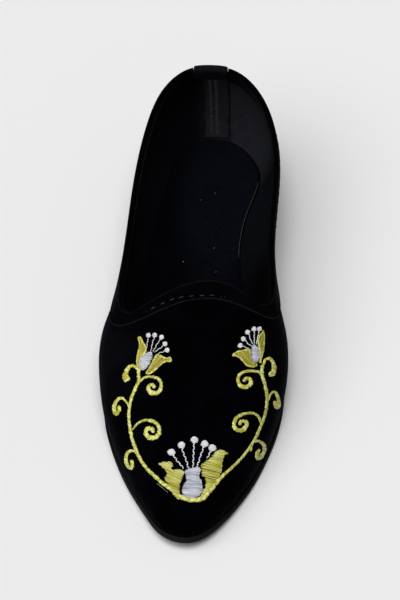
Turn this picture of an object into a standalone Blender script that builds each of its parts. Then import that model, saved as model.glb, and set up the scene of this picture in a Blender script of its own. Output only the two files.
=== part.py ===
"""Ballet flat for the right foot: pointed toe, high vamp with an arched throat, bound topline, thin sole and low heel.

Metres, +Z up, toe towards -Y, the foot's inner (medial) side towards +X.  The origin is on the floor
under the middle of the shoe's bounding box.

The upper is one band of cloth between two closed lines: the feather line, where it meets the sole, and
the topline, which is the throat, the collar and the back.  A rib is a curve up that band from one line
to the other.  Ribs go round the shoe by the angle `around`: 0 at the toe tip, 90 at the medial side,
180 at the back of the heel, 270 at the lateral side.
"""

import math
from collections import namedtuple

import bmesh
import bpy
import numpy as np
from mathutils import Matrix, Vector

MM = 0.001

# Driving sizes.
LENGTH = 0.2395  # of the feather line, toe tip to heel
BALL_WIDTH = 0.0832  # of the feather line
MIDDLE = -0.0032  # y halfway along the feather line
TOE_LEAN = 0.0016  # of the toe tip, to the medial side
LEAN_FROM = 0.35  # cosine of `around` where the lean begins
SOLE_THICKNESS = 0.0045
SOLE_LEDGE = 0.0009  # how far the sole's edge stands out past the feather line
TOE_SPRING = 0.0055
HEEL_HEIGHT = 0.0080
INSOLE_THICKNESS = 0.0022
WALL = 0.0015  # the upper: cloth, stiffener and lining together
GAP = 0.0003  # between pieces that touch

# Stations along the tread, from the toe tip: shares of LENGTH.
SPRING_START = 0.243
WAIST_START = 0.477
BREAST = 0.769

HEEL_INSET = 0.0002  # the heel block's side, in from the feather line
HEEL_SETBACK = 0.0030  # of its front corners, behind the breast
BREAST_ARC = 0.0040  # how deep its front curves in

# Topline binding, a cloth strip folded over the edge.
BINDING_THICKNESS = 0.00045
BINDING_LEG = 0.0078  # down each side of the wall

# Pull tab at the back, folded over the topline in a notch of its own, and the lining strip below it.
TAB_WIDTH = 0.0166
TAB_THICKNESS = 0.0009
TAB_RISE = 0.0020  # above the topline
TAB_OUTER = 0.0120
TAB_INNER = 0.0064
NOTCH_DEPTH = 0.0050
NOTCH_SLIT = 0.0008  # open at each side of the tab
STRIP_WIDTH = 0.0132
STRIP_SHIFT = 0.0021  # from the tab's middle, to the medial side
STRIP_THICKNESS = 0.0006

# The boxes that cut the notch and the binding's bay for the tab.
BAY_DEPTH = 0.0130  # deeper than the binding's leg
CUTTER_REACH = 0.0120  # before and behind the wall
CUTTER_RISE = 0.0100  # above the topline

RIBS_AROUND = 112
ROWS_UP = 11
ROW_CROWDING = 1.35  # the rows lie closer together towards the feather line, where the wall bends most
MID_COLUMNS = 6  # across the sole and the insole
HEEL_POINTS = 90  # round the back half of the heel block
BREAST_POINTS = 8
TAB_PARTS = 8  # across the tab
STRIP_PARTS = (6, 8)  # across and down the strip
SHARP_ANGLE = math.radians(40)

# Half widths of the feather line at stations from the toe tip: shares of LENGTH and of BALL_WIDTH.
Outline = namedtuple("Outline", "station medial lateral")
OUTLINE = [
    Outline(0.013, 0.100, 0.107),
    Outline(0.058, 0.212, 0.207),
    Outline(0.102, 0.290, 0.281),
    Outline(0.145, 0.353, 0.345),
    Outline(0.187, 0.401, 0.397),
    Outline(0.230, 0.442, 0.442),
    Outline(0.271, 0.472, 0.476),
    Outline(0.320, 0.492, 0.497),
    Outline(0.370, 0.493, 0.506),
    Outline(0.425, 0.468, 0.500),
    Outline(0.485, 0.410, 0.476),
    Outline(0.550, 0.325, 0.437),
    Outline(0.607, 0.255, 0.402),
    Outline(0.650, 0.226, 0.376),
    Outline(0.700, 0.218, 0.352),
    Outline(0.750, 0.230, 0.332),
    Outline(0.800, 0.258, 0.315),
    Outline(0.845, 0.290, 0.300),
    Outline(0.890, 0.304, 0.286),
    Outline(0.930, 0.272, 0.258),
    Outline(0.970, 0.190, 0.185),
]
TOE_RADIUS = 0.0128
HEEL_RADIUS = 0.0240

# Ribs.  side, station and height place the rib's top end: shares of BALL_WIDTH (medial is +) and LENGTH, and mm
# above the floor.  The other columns shape the curve: rise and flank (mm) carry its first handle up and out
# from the feather line, reach (share of the way back), drop and shoulder (mm) its second from the topline.
Rib = namedtuple("Rib", "around side station height rise flank reach drop shoulder")
RIBS = [
    Rib(0, 0.036, 0.460, 54.3, 11.0, 1.6, 0.52, 27.0, 0.0),
    Rib(25, 0.126, 0.461, 54.2, 14.0, 1.4, 0.50, 22.0, 2.0),
    Rib(45, 0.216, 0.457, 52.0, 17.0, 2.4, 0.46, 17.0, 4.5),
    Rib(60, 0.298, 0.448, 48.6, 19.0, 4.3, 0.42, 13.0, 7.2),
    Rib(72, 0.367, 0.442, 44.6, 19.0, 5.8, 0.36, 12.0, 8.4),
    Rib(82, 0.418, 0.456, 42.0, 17.0, 6.6, 0.26, 13.0, 7.4),
    Rib(92, 0.433, 0.502, 42.2, 15.0, 6.4, 0.15, 14.0, 4.8),
    Rib(104, 0.413, 0.586, 44.4, 14.0, 6.0, 0.08, 15.0, 3.0),
    Rib(120, 0.415, 0.719, 48.8, 14.0, 6.0, 0.05, 17.0, 2.5),
    Rib(140, 0.384, 0.857, 54.1, 16.0, 5.5, 0.03, 18.0, 3.0),
    Rib(156, 0.272, 0.954, 58.3, 17.0, 6.5, 0.02, 19.0, 4.0),
    Rib(168, 0.132, 1.003, 60.0, 18.0, 7.0, 0.00, 20.0, 4.8),
    Rib(180, -0.019, 1.014, 60.3, 18.0, 7.0, 0.00, 20.0, 5.0),
    Rib(192, -0.163, 1.003, 60.0, 18.0, 7.0, 0.00, 20.0, 4.8),
    Rib(204, -0.284, 0.956, 58.2, 17.0, 6.5, 0.02, 19.0, 4.0),
    Rib(220, -0.367, 0.861, 54.1, 16.0, 5.5, 0.03, 18.0, 3.0),
    Rib(240, -0.410, 0.719, 48.6, 14.0, 4.0, 0.05, 17.0, 2.5),
    Rib(256, -0.423, 0.590, 44.4, 14.0, 4.0, 0.08, 15.0, 3.0),
    Rib(268, -0.434, 0.498, 41.6, 15.0, 4.8, 0.15, 14.0, 4.0),
    Rib(278, -0.425, 0.444, 40.0, 17.0, 6.3, 0.26, 13.0, 7.4),
    Rib(288, -0.373, 0.419, 42.0, 19.0, 5.8, 0.36, 12.0, 8.4),
    Rib(300, -0.294, 0.420, 46.0, 19.0, 4.0, 0.42, 13.0, 7.0),
    Rib(315, -0.180, 0.436, 50.3, 17.0, 2.4, 0.46, 17.0, 4.5),
    Rib(335, -0.054, 0.453, 53.4, 14.0, 1.4, 0.50, 22.0, 2.0),
]

# The sole's side from its top to its tread: how far each step stands out from the feather line, and its share
# of the way down.
EDGE_STEPS = [(SOLE_LEDGE - 0.0004, 0.0), (SOLE_LEDGE, 0.10), (SOLE_LEDGE, 0.80), (SOLE_LEDGE - 0.0009, 1.0)]

Finish = namedtuple("Finish", "colour roughness metallic")
VELVET = Finish((0.004, 0.004, 0.006), 0.95, 0.0)
LINING = Finish((0.010, 0.010, 0.014), 0.85, 0.0)
SOCK = Finish((0.006, 0.007, 0.012), 0.80, 0.0)
RUBBER = Finish((0.016, 0.016, 0.017), 0.60, 0.0)


def closed_spline(knots, values, period=360.0):
    """A smooth periodic function through (knot, value) pairs, worked out from its second derivatives."""
    x = np.array(knots, float)
    y = np.array(values, float)
    n = len(x)
    step = np.diff(np.append(x, x[0] + period))
    matrix = np.zeros((n, n))
    right = np.zeros(n)
    for i in range(n):
        before, after = step[i - 1], step[i]
        matrix[i, i - 1] += before
        matrix[i, i] += 2 * (before + after)
        matrix[i, (i + 1) % n] += after
        right[i] = 6 * ((y[(i + 1) % n] - y[i]) / after - (y[i] - y[i - 1]) / before)
    second = np.linalg.solve(matrix, right)

    def value(at):
        at = (at - x[0]) % period + x[0]
        i = int(np.searchsorted(x, at, side="right")) - 1
        j = (i + 1) % n
        h = step[i]
        a, b = x[i] + h - at, at - x[i]
        return float(
            (second[i] * a**3 + second[j] * b**3) / (6 * h)
            + (y[i] / h - second[i] * h / 6) * a
            + (y[j] / h - second[j] * h / 6) * b
        )

    return value


def feather_fullness():
    """Half width over the sine of `around`, which keeps the toe and the heel round."""
    toe = math.sqrt(TOE_RADIUS * LENGTH / 2)
    heel = math.sqrt(HEEL_RADIUS * LENGTH / 2)
    medial = []
    lateral = []
    for row in OUTLINE:
        angle = math.acos(1 - 2 * row.station)
        medial.append((math.degrees(angle), row.medial * BALL_WIDTH / math.sin(angle)))
        lateral.append((360 - math.degrees(angle), row.lateral * BALL_WIDTH / math.sin(angle)))
    knots = [(0.0, toe), *medial, (180.0, heel), *reversed(lateral)]
    return closed_spline([k for k, _ in knots], [v for _, v in knots])


FULLNESS = feather_fullness()
RIB = {name: closed_spline([r.around for r in RIBS], [getattr(r, name) for r in RIBS]) for name in Rib._fields[1:]}


def station_y(station):
    return MIDDLE + (station - 0.5) * LENGTH


def smooth(share):
    """0 to 1 with level ends."""
    share = min(1.0, max(0.0, share))
    return share * share * (3 - 2 * share)


def tread_height(y):
    """The sole's underside: toe spring, a flat forefoot, the waist, and the level seat over the heel."""
    station = (y - station_y(0)) / LENGTH
    toe = max(0.0, 1 - station / SPRING_START)
    heel = smooth((station - WAIST_START) / (BREAST - WAIST_START))
    return TOE_SPRING * toe**2 + HEEL_HEIGHT * heel


def seat_height(y):
    """The sole's upper side."""
    return tread_height(y) + SOLE_THICKNESS


def feather_plan(around, out=0.0):
    """A point of the feather line in plan, moved outwards by `out`."""

    def at(degrees):
        angle = math.radians(degrees)
        forward = max(0.0, math.cos(angle) - LEAN_FROM) / (1 - LEAN_FROM)
        lean = TOE_LEAN * forward**2
        return Vector((lean + FULLNESS(degrees) * math.sin(angle), MIDDLE - LENGTH / 2 * math.cos(angle)))

    along = at(around + 0.5) - at(around - 0.5)
    outward = Vector((along.y, -along.x)).normalized()
    return at(around) + outward * out, outward


def rib_point(around, up):
    """The upper's outer face: up goes from 0 at the feather line to 1 at the topline, along a cubic curve."""
    foot, outward = feather_plan(around)
    start = Vector((foot.x, foot.y, seat_height(foot.y) + GAP))
    end = Vector((RIB["side"](around) * BALL_WIDTH, station_y(RIB["station"](around)), RIB["height"](around) * MM))
    out = Vector((outward.x, outward.y, 0))
    first = start + out * (RIB["flank"](around) * MM) + Vector((0, 0, RIB["rise"](around) * MM))
    back = Vector((start.x - end.x, start.y - end.y, 0)) * RIB["reach"](around)
    second = end + back + out * (RIB["shoulder"](around) * MM) - Vector((0, 0, RIB["drop"](around) * MM))
    down = 1 - up
    return start * down**3 + first * (3 * down**2 * up) + second * (3 * down * up**2) + end * up**3


def rib_frame(around, up):
    """The point, its outward normal and the direction up the rib."""
    turn, climb = 0.25, 0.01
    low = max(0.0, up - climb)
    high = min(1.0, up + climb)
    upward = (rib_point(around, high) - rib_point(around, low)).normalized()
    along = rib_point(around + turn, up) - rib_point(around - turn, up)
    return rib_point(around, up), along.cross(upward).normalized(), upward


def ups_below(around, distances):
    """The values of up that lie these distances below the topline, measured down the rib."""
    steps = 60
    points = [rib_point(around, 1 - i / steps) for i in range(steps + 1)]
    lengths = np.concatenate([[0.0], np.cumsum([(b - a).length for a, b in zip(points, points[1:])])])
    return [1 - float(np.interp(d, lengths, np.arange(steps + 1))) / steps for d in distances]


def up_at_height(around, height):
    """The value of up where the rib, climbing, passes this height."""
    steps = 200
    heights = [rib_point(around, i / steps).z for i in range(steps + 1)]
    return float(np.interp(height, heights, np.arange(steps + 1))) / steps


def rib_angles(first=0.0, last=360.0, count=RIBS_AROUND):
    return [first + (last - first) * i / count for i in range(count)]


def back_point(x, z, offset):
    """The point at x and z on a face that lies this far outside the back of the upper."""
    top = rib_point(180, 1)
    level = min(z, top.z)
    around, up = 180.0, level / top.z
    for _ in range(12):
        surface, normal, _ = rib_frame(around, up)
        point = surface + normal * offset
        around += (point.x - x) / MM
        up = min(1.0, up + (level - point.z) / top.z)
    return Vector((x, point.y, z))


def material(name, finish):
    made = bpy.data.materials.new(name)
    made.use_nodes = True
    shader = made.node_tree.nodes["Principled BSDF"]
    shader.inputs["Base Color"].default_value = (*finish.colour, 1)
    shader.inputs["Roughness"].default_value = finish.roughness
    shader.inputs["Metallic"].default_value = finish.metallic
    return made


def place(name, mesh, finish, collection):
    obj = bpy.data.objects.new(name, mesh)
    obj.data.materials.append(material(name + "_finish", finish))
    collection.objects.link(obj)
    return obj


def sheet_mesh(name, columns, closed, turn=None):
    """An open surface through columns of points; closed joins the last column to the first.

    Each patch is split along a diagonal, and from row `turn` on along the other one, so that two sheets
    made from the same ribs are split alike and keep an even gap."""
    bm = bmesh.new()
    grid = [[bm.verts.new(p) for p in column] for column in columns]
    last = len(grid) if closed else len(grid) - 1
    for i in range(last):
        left, right = grid[i], grid[(i + 1) % len(grid)]
        for j in range(len(left) - 1):
            if turn is None or j < turn:
                bm.faces.new((left[j], right[j], right[j + 1]))
                bm.faces.new((left[j], right[j + 1], left[j + 1]))
            else:
                bm.faces.new((left[j], right[j], left[j + 1]))
                bm.faces.new((right[j], right[j + 1], left[j + 1]))
    mesh = bpy.data.meshes.new(name)
    bm.to_mesh(mesh)
    bm.free()
    mesh.shade_smooth()
    return mesh


def loft_mesh(name, sections):
    """A closed solid through sections, each a ring of points, with a flat cap at each end."""
    bm = bmesh.new()
    rings = [[bm.verts.new(p) for p in section] for section in sections]
    count = len(rings[0])
    for near, far in zip(rings, rings[1:]):
        for j in range(count):
            bm.faces.new((near[j], near[(j + 1) % count], far[(j + 1) % count], far[j]))
    bm.faces.new(list(reversed(rings[0])))
    bm.faces.new(rings[-1])
    bmesh.ops.recalc_face_normals(bm, faces=bm.faces)
    mesh = bpy.data.meshes.new(name)
    bm.to_mesh(mesh)
    bm.free()
    mesh.shade_smooth()
    mesh.set_sharp_from_angle(angle=SHARP_ANGLE)
    return mesh


def slab_mesh(name, rings, top, bottom):
    """A closed slab: rings of points down its side, capped by strips across between facing points.

    top and bottom give the height of a cap at a given y."""
    bm = bmesh.new()
    loops = [[bm.verts.new(p) for p in ring] for ring in rings]
    count = len(loops[0])
    half = count // 2
    for upper, lower in zip(loops, loops[1:]):
        for i in range(count):
            j = (i + 1) % count
            bm.faces.new((upper[i], lower[i], lower[j], upper[j]))
    for loop, height, flip in ((loops[0], top, False), (loops[-1], bottom, True)):
        rows = [[loop[0]]]
        for i in range(1, half):
            right, left = loop[i], loop[count - i]
            inner = []
            for k in range(1, MID_COLUMNS):
                point = right.co.lerp(left.co, k / MID_COLUMNS)
                inner.append(bm.verts.new((point.x, point.y, height(point.y))))
            rows.append([right, *inner, left])
        rows.append([loop[half]])
        for near, far in zip(rows, rows[1:]):
            for k in range(max(len(near), len(far)) - 1):
                corners = [near[min(k, len(near) - 1)], far[min(k, len(far) - 1)]]
                corners += [far[min(k + 1, len(far) - 1)], near[min(k + 1, len(near) - 1)]]
                face = list(dict.fromkeys(corners))
                bm.faces.new(list(reversed(face)) if flip else face)
    bmesh.ops.recalc_face_normals(bm, faces=bm.faces)
    mesh = bpy.data.meshes.new(name)
    bm.to_mesh(mesh)
    bm.free()
    mesh.shade_smooth()
    mesh.set_sharp_from_angle(angle=SHARP_ANGLE)
    return mesh


def thicken(obj, thickness, outward):
    """Solidify to one side of the surface: outward follows its normals."""
    solid = obj.modifiers.new("Thickness", "SOLIDIFY")
    solid.thickness = thickness
    solid.offset = 1.0 if outward else -1.0
    return solid


def cut(obj, cutter):
    boolean = obj.modifiers.new("Notch", "BOOLEAN")
    boolean.operation = "DIFFERENCE"
    boolean.object = cutter
    boolean.solver = "EXACT"


def box_cutter(name, low, high, collection):
    size = high - low
    bpy.ops.mesh.primitive_cube_add(size=1, location=(high + low) / 2)
    box = bpy.context.object
    box.name = name
    box.data.transform(Matrix.Diagonal((size.x, size.y, size.z, 1)))
    for old in box.users_collection:
        old.objects.unlink(box)
    collection.objects.link(box)
    box.hide_render = True
    box.display_type = "WIRE"
    return box


def make_outsole(shoe):
    rings = []
    for out, down in EDGE_STEPS:
        ring = []
        for around in rib_angles():
            point, _ = feather_plan(around, out)
            foot, _ = feather_plan(around)
            ring.append((point.x, point.y, seat_height(foot.y) - SOLE_THICKNESS * down))
        rings.append(ring)
    return place("outsole", slab_mesh("outsole", rings, seat_height, tread_height), RUBBER, shoe)


def wall_clearance(around, heights):
    """How far in from the feather line a piece must stay to clear the upper's inner face at these heights."""
    foot, outward = feather_plan(around)
    reach = []
    for height in heights:
        point, normal, _ = rib_frame(around, up_at_height(around, height))
        inner = point - normal * (WALL + GAP)
        reach.append((foot - inner.to_2d()).dot(outward))
    return max(reach) + GAP


def make_insole(shoe):
    def top(y):
        return seat_height(y) + GAP + INSOLE_THICKNESS

    def bottom(y):
        return seat_height(y) + GAP

    plan = []
    for around in rib_angles():
        foot, _ = feather_plan(around)
        inset = wall_clearance(around, [bottom(foot.y), top(foot.y)])
        plan.append(feather_plan(around, -inset)[0])
    rings = [[(p.x, p.y, height(p.y)) for p in plan] for height in (top, bottom)]
    return place("insole", slab_mesh("insole", rings, top, bottom), SOCK, shoe)


def make_heel(shoe):
    """A low block under the seat: the sole's outline behind the breast, cut across by a shallow curve."""
    top = HEEL_HEIGHT - GAP
    front = station_y(BREAST) + HEEL_SETBACK
    points = []
    for around in rib_angles(90, 270, HEEL_POINTS):
        point, _ = feather_plan(around, -HEEL_INSET)
        if point.y > front:
            points.append(point)
    first, last = points[0], points[-1]
    for i in range(1, BREAST_POINTS):
        share = i / BREAST_POINTS
        point = last.lerp(first, share)
        points.append(Vector((point.x, point.y + BREAST_ARC * math.sin(math.pi * share))))
    curve = bpy.data.curves.new("heel", "CURVE")
    curve.dimensions = "2D"
    curve.fill_mode = "BOTH"
    curve.extrude = top / 2
    spline = curve.splines.new("POLY")
    spline.points.add(len(points) - 1)
    for slot, point in zip(spline.points, points):
        slot.co = (point.x, point.y, 0, 1)
    spline.use_cyclic_u = True
    curve.materials.append(material("heel_finish", RUBBER))
    heel = bpy.data.objects.new("heel", curve)
    heel.location.z = top / 2
    shoe.objects.link(heel)
    return heel


def make_upper(shoe):
    columns = []
    for around in rib_angles():
        hem, half_hem = ups_below(around, [BINDING_LEG, BINDING_LEG / 2])
        ups = [hem * (j / (ROWS_UP - 2)) ** ROW_CROWDING for j in range(ROWS_UP - 1)] + [half_hem, 1.0]
        columns.append([rib_point(around, up) for up in ups])
    upper = place("upper", sheet_mesh("upper", columns, True), VELVET, shoe)
    thicken(upper, WALL, outward=False)
    return upper


def make_binding(shoe):
    """The strip's inner face runs up the outside of the wall, over its edge and down the inside."""
    columns = []
    for around in rib_angles():
        column = []
        for up in ups_below(around, [BINDING_LEG, BINDING_LEG / 2, 0.0]):
            point, normal, _ = rib_frame(around, up)
            column.append(point + normal * GAP)
        edge, normal, upward = rib_frame(around, 1.0)
        middle = edge - normal * (WALL / 2)
        for degrees in (45, 90, 135):
            angle = math.radians(degrees)
            column.append(middle + (normal * math.cos(angle) + upward * math.sin(angle)) * (WALL / 2 + GAP))
        for up in ups_below(around, [0.0, BINDING_LEG / 2, BINDING_LEG]):
            point, normal, _ = rib_frame(around, up)
            column.append(point - normal * (WALL + GAP))
        columns.append(column)
    binding = place("topline_binding", sheet_mesh("topline_binding", columns, True, turn=6), VELVET, shoe)
    thicken(binding, BINDING_THICKNESS, outward=True)
    return binding


def make_tab(shoe):
    """A folded tape that stands in the notch and straddles the wall below it."""
    top = rib_point(180, 1)
    outside = GAP + TAB_THICKNESS
    inside = -(WALL + GAP + TAB_THICKNESS)
    radius = (outside - inside) / 2
    saddle = -NOTCH_DEPTH + GAP
    profile = [(outside, -TAB_OUTER), (outside, -NOTCH_DEPTH), (outside, 0.0)]
    for degrees in (0, 45, 90, 135, 180):
        angle = math.radians(degrees)
        profile.append((-WALL / 2 + radius * math.cos(angle), TAB_RISE - radius + radius * math.sin(angle)))
    profile += [(inside, 0.0), (inside, -NOTCH_DEPTH), (inside, -TAB_INNER)]
    profile += [(-WALL - GAP, -TAB_INNER), (-WALL - GAP, saddle), (GAP, saddle), (GAP, -TAB_OUTER)]
    sections = []
    for i in range(TAB_PARTS + 1):
        x = top.x + TAB_WIDTH * (i / TAB_PARTS - 0.5)
        sections.append([back_point(x, top.z + rise, offset) for offset, rise in profile])
    return place("heel_tab", loft_mesh("heel_tab", sections), VELVET, shoe)


def make_strip(shoe):
    """The lining strip on the inside of the heel, from the tab down to the insole."""
    top = rib_point(180, 1)
    start = top.z - TAB_INNER - 2 * GAP
    stop = seat_height(station_y(1)) + GAP + INSOLE_THICKNESS + 2 * GAP
    across, down = STRIP_PARTS
    columns = []
    for i in range(across + 1):
        x = top.x + STRIP_SHIFT - STRIP_WIDTH * (i / across - 0.5)
        heights = [start + (stop - start) * j / down for j in range(down + 1)]
        columns.append([back_point(x, height, -(WALL + GAP)) for height in heights])
    strip = place("heel_strip", sheet_mesh("heel_strip", columns, False), LINING, shoe)
    thicken(strip, STRIP_THICKNESS, outward=True)
    return strip


def main():
    for old in list(bpy.data.objects):
        bpy.data.objects.remove(old)
    shoe = bpy.data.collections.new("ballet_flat")
    cutters = bpy.data.collections.new("cutters")
    bpy.context.scene.collection.children.link(shoe)
    bpy.context.scene.collection.children.link(cutters)

    make_outsole(shoe)
    make_insole(shoe)
    make_heel(shoe)
    upper = make_upper(shoe)
    binding = make_binding(shoe)
    make_tab(shoe)
    make_strip(shoe)

    top = rib_point(180, 1)
    half = TAB_WIDTH / 2 + NOTCH_SLIT
    low = Vector((top.x - half, top.y - CUTTER_REACH, top.z))
    high = Vector((top.x + half, top.y + CUTTER_REACH, top.z + CUTTER_RISE))
    cut(upper, box_cutter("notch", low - Vector((0, 0, NOTCH_DEPTH)), high, cutters))
    cut(binding, box_cutter("binding_bay", low - Vector((0, 0, BAY_DEPTH)), high, cutters))


main()
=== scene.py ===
"""Looks of the ballet flat: black velvet with thread embroidery, bound topline, dark lining, rubber sole.

Metres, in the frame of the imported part.  Tables and thread sizes are in mm and go through MM.
The rib functions repeat those of the part's source, so that every cloth lies on the solids' own form.
"""

import math
from collections import namedtuple

import bmesh
import bpy
import numpy as np
from mathutils import Matrix, Vector
from mathutils.bvhtree import BVHTree


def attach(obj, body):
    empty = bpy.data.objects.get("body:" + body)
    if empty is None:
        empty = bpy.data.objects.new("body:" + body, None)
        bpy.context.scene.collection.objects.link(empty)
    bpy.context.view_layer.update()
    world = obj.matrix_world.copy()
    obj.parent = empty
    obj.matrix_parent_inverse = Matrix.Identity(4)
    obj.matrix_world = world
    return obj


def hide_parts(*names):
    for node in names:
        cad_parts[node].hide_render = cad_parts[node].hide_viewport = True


MM = 0.001

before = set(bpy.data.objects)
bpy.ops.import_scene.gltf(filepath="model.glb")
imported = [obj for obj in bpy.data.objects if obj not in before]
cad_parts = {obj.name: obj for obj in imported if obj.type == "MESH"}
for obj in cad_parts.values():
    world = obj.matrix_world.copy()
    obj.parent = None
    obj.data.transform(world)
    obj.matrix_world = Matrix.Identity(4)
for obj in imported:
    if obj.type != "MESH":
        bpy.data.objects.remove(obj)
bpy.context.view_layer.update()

# The part's driving sizes.
LENGTH = 0.2395
BALL_WIDTH = 0.0832
MIDDLE = -0.0032
TOE_LEAN = 0.0016
LEAN_FROM = 0.35
SOLE_THICKNESS = 0.0045
TOE_SPRING = 0.0055
HEEL_HEIGHT = 0.0080
INSOLE_THICKNESS = 0.0022
WALL = 0.0015
GAP = 0.0003
SPRING_START = 0.243
WAIST_START = 0.477
BREAST = 0.769
HEEL_INSET = 0.0002
HEEL_SETBACK = 0.0030
BREAST_ARC = 0.0040
TAB_WIDTH = 0.0166
TAB_THICKNESS = 0.0009
TAB_RISE = 0.0020
TAB_OUTER = 0.0120
TAB_INNER = 0.0064
NOTCH_DEPTH = 0.0050
NOTCH_SLIT = 0.0008
STRIP_WIDTH = 0.0132
STRIP_SHIFT = 0.0021
BAY_DEPTH = 0.0130
CUTTER_REACH = 0.0120
CUTTER_LAP = 0.0002
SLIT_DEPTH = 0.0068
SLIT_SPREAD = (-0.0004, -0.0004)  # how much wider the lateral and the medial slits gape
TOE_RADIUS = 0.0128
HEEL_RADIUS = 0.0240

# The feather line: share of the length from the toe, half widths as shares of BALL_WIDTH.
Outline = namedtuple("Outline", "station medial lateral")
OUTLINE = [Outline(*row) for row in (
    (0.013, 0.100, 0.107), (0.058, 0.212, 0.207), (0.102, 0.290, 0.281), (0.145, 0.353, 0.345),
    (0.187, 0.401, 0.397), (0.230, 0.442, 0.442), (0.271, 0.472, 0.476), (0.320, 0.492, 0.497),
    (0.370, 0.493, 0.506), (0.425, 0.468, 0.500), (0.485, 0.410, 0.476), (0.550, 0.325, 0.437),
    (0.607, 0.255, 0.402), (0.650, 0.226, 0.376), (0.700, 0.218, 0.352), (0.750, 0.230, 0.332),
    (0.800, 0.258, 0.315), (0.845, 0.290, 0.300), (0.890, 0.304, 0.286), (0.930, 0.272, 0.258),
    (0.970, 0.190, 0.185),
)]

Rib = namedtuple("Rib", "around side station height rise flank reach drop shoulder")
RIBS = [Rib(*row) for row in (
    (0, 0.036, 0.460, 54.3, 11.0, 1.6, 0.52, 27.0, 0.0),
    (25, 0.126, 0.461, 54.2, 14.0, 1.4, 0.50, 22.0, 2.0),
    (45, 0.216, 0.457, 52.0, 17.0, 2.4, 0.46, 17.0, 4.5),
    (60, 0.298, 0.448, 48.6, 19.0, 4.3, 0.42, 13.0, 7.2),
    (72, 0.367, 0.442, 44.6, 19.0, 5.8, 0.36, 12.0, 8.4),
    (82, 0.418, 0.456, 42.0, 17.0, 6.6, 0.26, 13.0, 7.4),
    (92, 0.433, 0.502, 42.2, 15.0, 6.4, 0.15, 14.0, 4.8),
    (104, 0.413, 0.586, 44.4, 14.0, 6.0, 0.08, 15.0, 3.0),
    (120, 0.415, 0.719, 48.8, 14.0, 6.0, 0.05, 17.0, 2.5),
    (140, 0.384, 0.857, 54.1, 16.0, 5.5, 0.03, 18.0, 3.0),
    (156, 0.272, 0.954, 58.3, 17.0, 6.5, 0.02, 19.0, 4.0),
    (168, 0.132, 1.003, 60.0, 18.0, 7.0, 0.00, 20.0, 4.8),
    (180, -0.019, 1.014, 60.3, 18.0, 7.0, 0.00, 20.0, 5.0),
    (192, -0.163, 1.003, 60.0, 18.0, 7.0, 0.00, 20.0, 4.8),
    (204, -0.284, 0.956, 58.2, 17.0, 6.5, 0.02, 19.0, 4.0),
    (220, -0.367, 0.861, 54.1, 16.0, 5.5, 0.03, 18.0, 3.0),
    (240, -0.410, 0.719, 48.6, 14.0, 4.0, 0.05, 17.0, 2.5),
    (256, -0.423, 0.590, 44.4, 14.0, 4.0, 0.08, 15.0, 3.0),
    (268, -0.434, 0.498, 41.6, 15.0, 4.8, 0.15, 14.0, 4.0),
    (278, -0.425, 0.444, 40.0, 17.0, 6.3, 0.26, 13.0, 7.4),
    (288, -0.373, 0.419, 42.0, 19.0, 5.8, 0.36, 12.0, 8.4),
    (300, -0.294, 0.420, 46.0, 19.0, 4.0, 0.42, 13.0, 7.0),
    (315, -0.180, 0.436, 50.3, 17.0, 2.4, 0.46, 17.0, 4.5),
    (335, -0.054, 0.453, 53.4, 14.0, 1.4, 0.50, 22.0, 2.0),
)]

rng = np.random.default_rng(7)


# ---- The shoe's form


def closed_spline(knots, values):
    """A smooth function of degrees around the shoe, through values at knots."""
    x = np.array(knots, float)
    y = np.array(values, float)
    n = len(x)
    step = np.diff(np.append(x, x[0] + 360))
    matrix = np.zeros((n, n))
    right = np.zeros(n)
    for i in range(n):
        before, after = step[i - 1], step[i]
        matrix[i, i - 1] += before
        matrix[i, i] += 2 * (before + after)
        matrix[i, (i + 1) % n] += after
        right[i] = 6 * ((y[(i + 1) % n] - y[i]) / after - (y[i] - y[i - 1]) / before)
    second = np.linalg.solve(matrix, right)

    def value(at):
        at = (np.asarray(at, float) - x[0]) % 360 + x[0]
        i = np.clip(np.searchsorted(x, at, side="right") - 1, 0, n - 1)
        j = (i + 1) % n
        h = step[i]
        a, b = x[i] + h - at, at - x[i]
        curve = (second[i] * a**3 + second[j] * b**3) / (6 * h)
        return curve + (y[i] / h - second[i] * h / 6) * a + (y[j] / h - second[j] * h / 6) * b

    return value


def feather_fullness():
    knots = [(0.0, math.sqrt(TOE_RADIUS * LENGTH / 2)), (180.0, math.sqrt(HEEL_RADIUS * LENGTH / 2))]
    for row in OUTLINE:
        angle = math.acos(1 - 2 * row.station)
        knots.append((math.degrees(angle), row.medial * BALL_WIDTH / math.sin(angle)))
        knots.append((360 - math.degrees(angle), row.lateral * BALL_WIDTH / math.sin(angle)))
    return closed_spline(*zip(*sorted(knots)))


FULLNESS = feather_fullness()
RIB = {
    name: closed_spline([rib.around for rib in RIBS], [getattr(rib, name) for rib in RIBS])
    for name in Rib._fields[1:]
}


def station_y(station):
    return MIDDLE + (station - 0.5) * LENGTH


def smooth(share):
    share = np.clip(share, 0.0, 1.0)
    return share * share * (3 - 2 * share)


def unit(v):
    return v / np.linalg.norm(v, axis=-1, keepdims=True)


def tread_height(y):
    station = (y - station_y(0)) / LENGTH
    toe = np.maximum(0.0, 1 - station / SPRING_START)
    heel = smooth((station - WAIST_START) / (BREAST - WAIST_START))
    return TOE_SPRING * toe**2 + HEEL_HEIGHT * heel


def seat_height(y):
    return tread_height(y) + SOLE_THICKNESS


def feather_plan(around, out=0.0):
    """Plan points this far outside the feather line, and the outward directions there."""
    def at(degrees):
        angle = np.radians(degrees)
        forward = np.maximum(0.0, np.cos(angle) - LEAN_FROM) / (1 - LEAN_FROM)
        x = TOE_LEAN * forward**2 + FULLNESS(degrees) * np.sin(angle)
        return np.stack([x, MIDDLE - LENGTH / 2 * np.cos(angle)], -1)

    along = at(around + 0.5) - at(around - 0.5)
    outward = unit(np.stack([along[..., 1], -along[..., 0]], -1))
    return at(around) + outward * np.asarray(out)[..., None], outward


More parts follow.
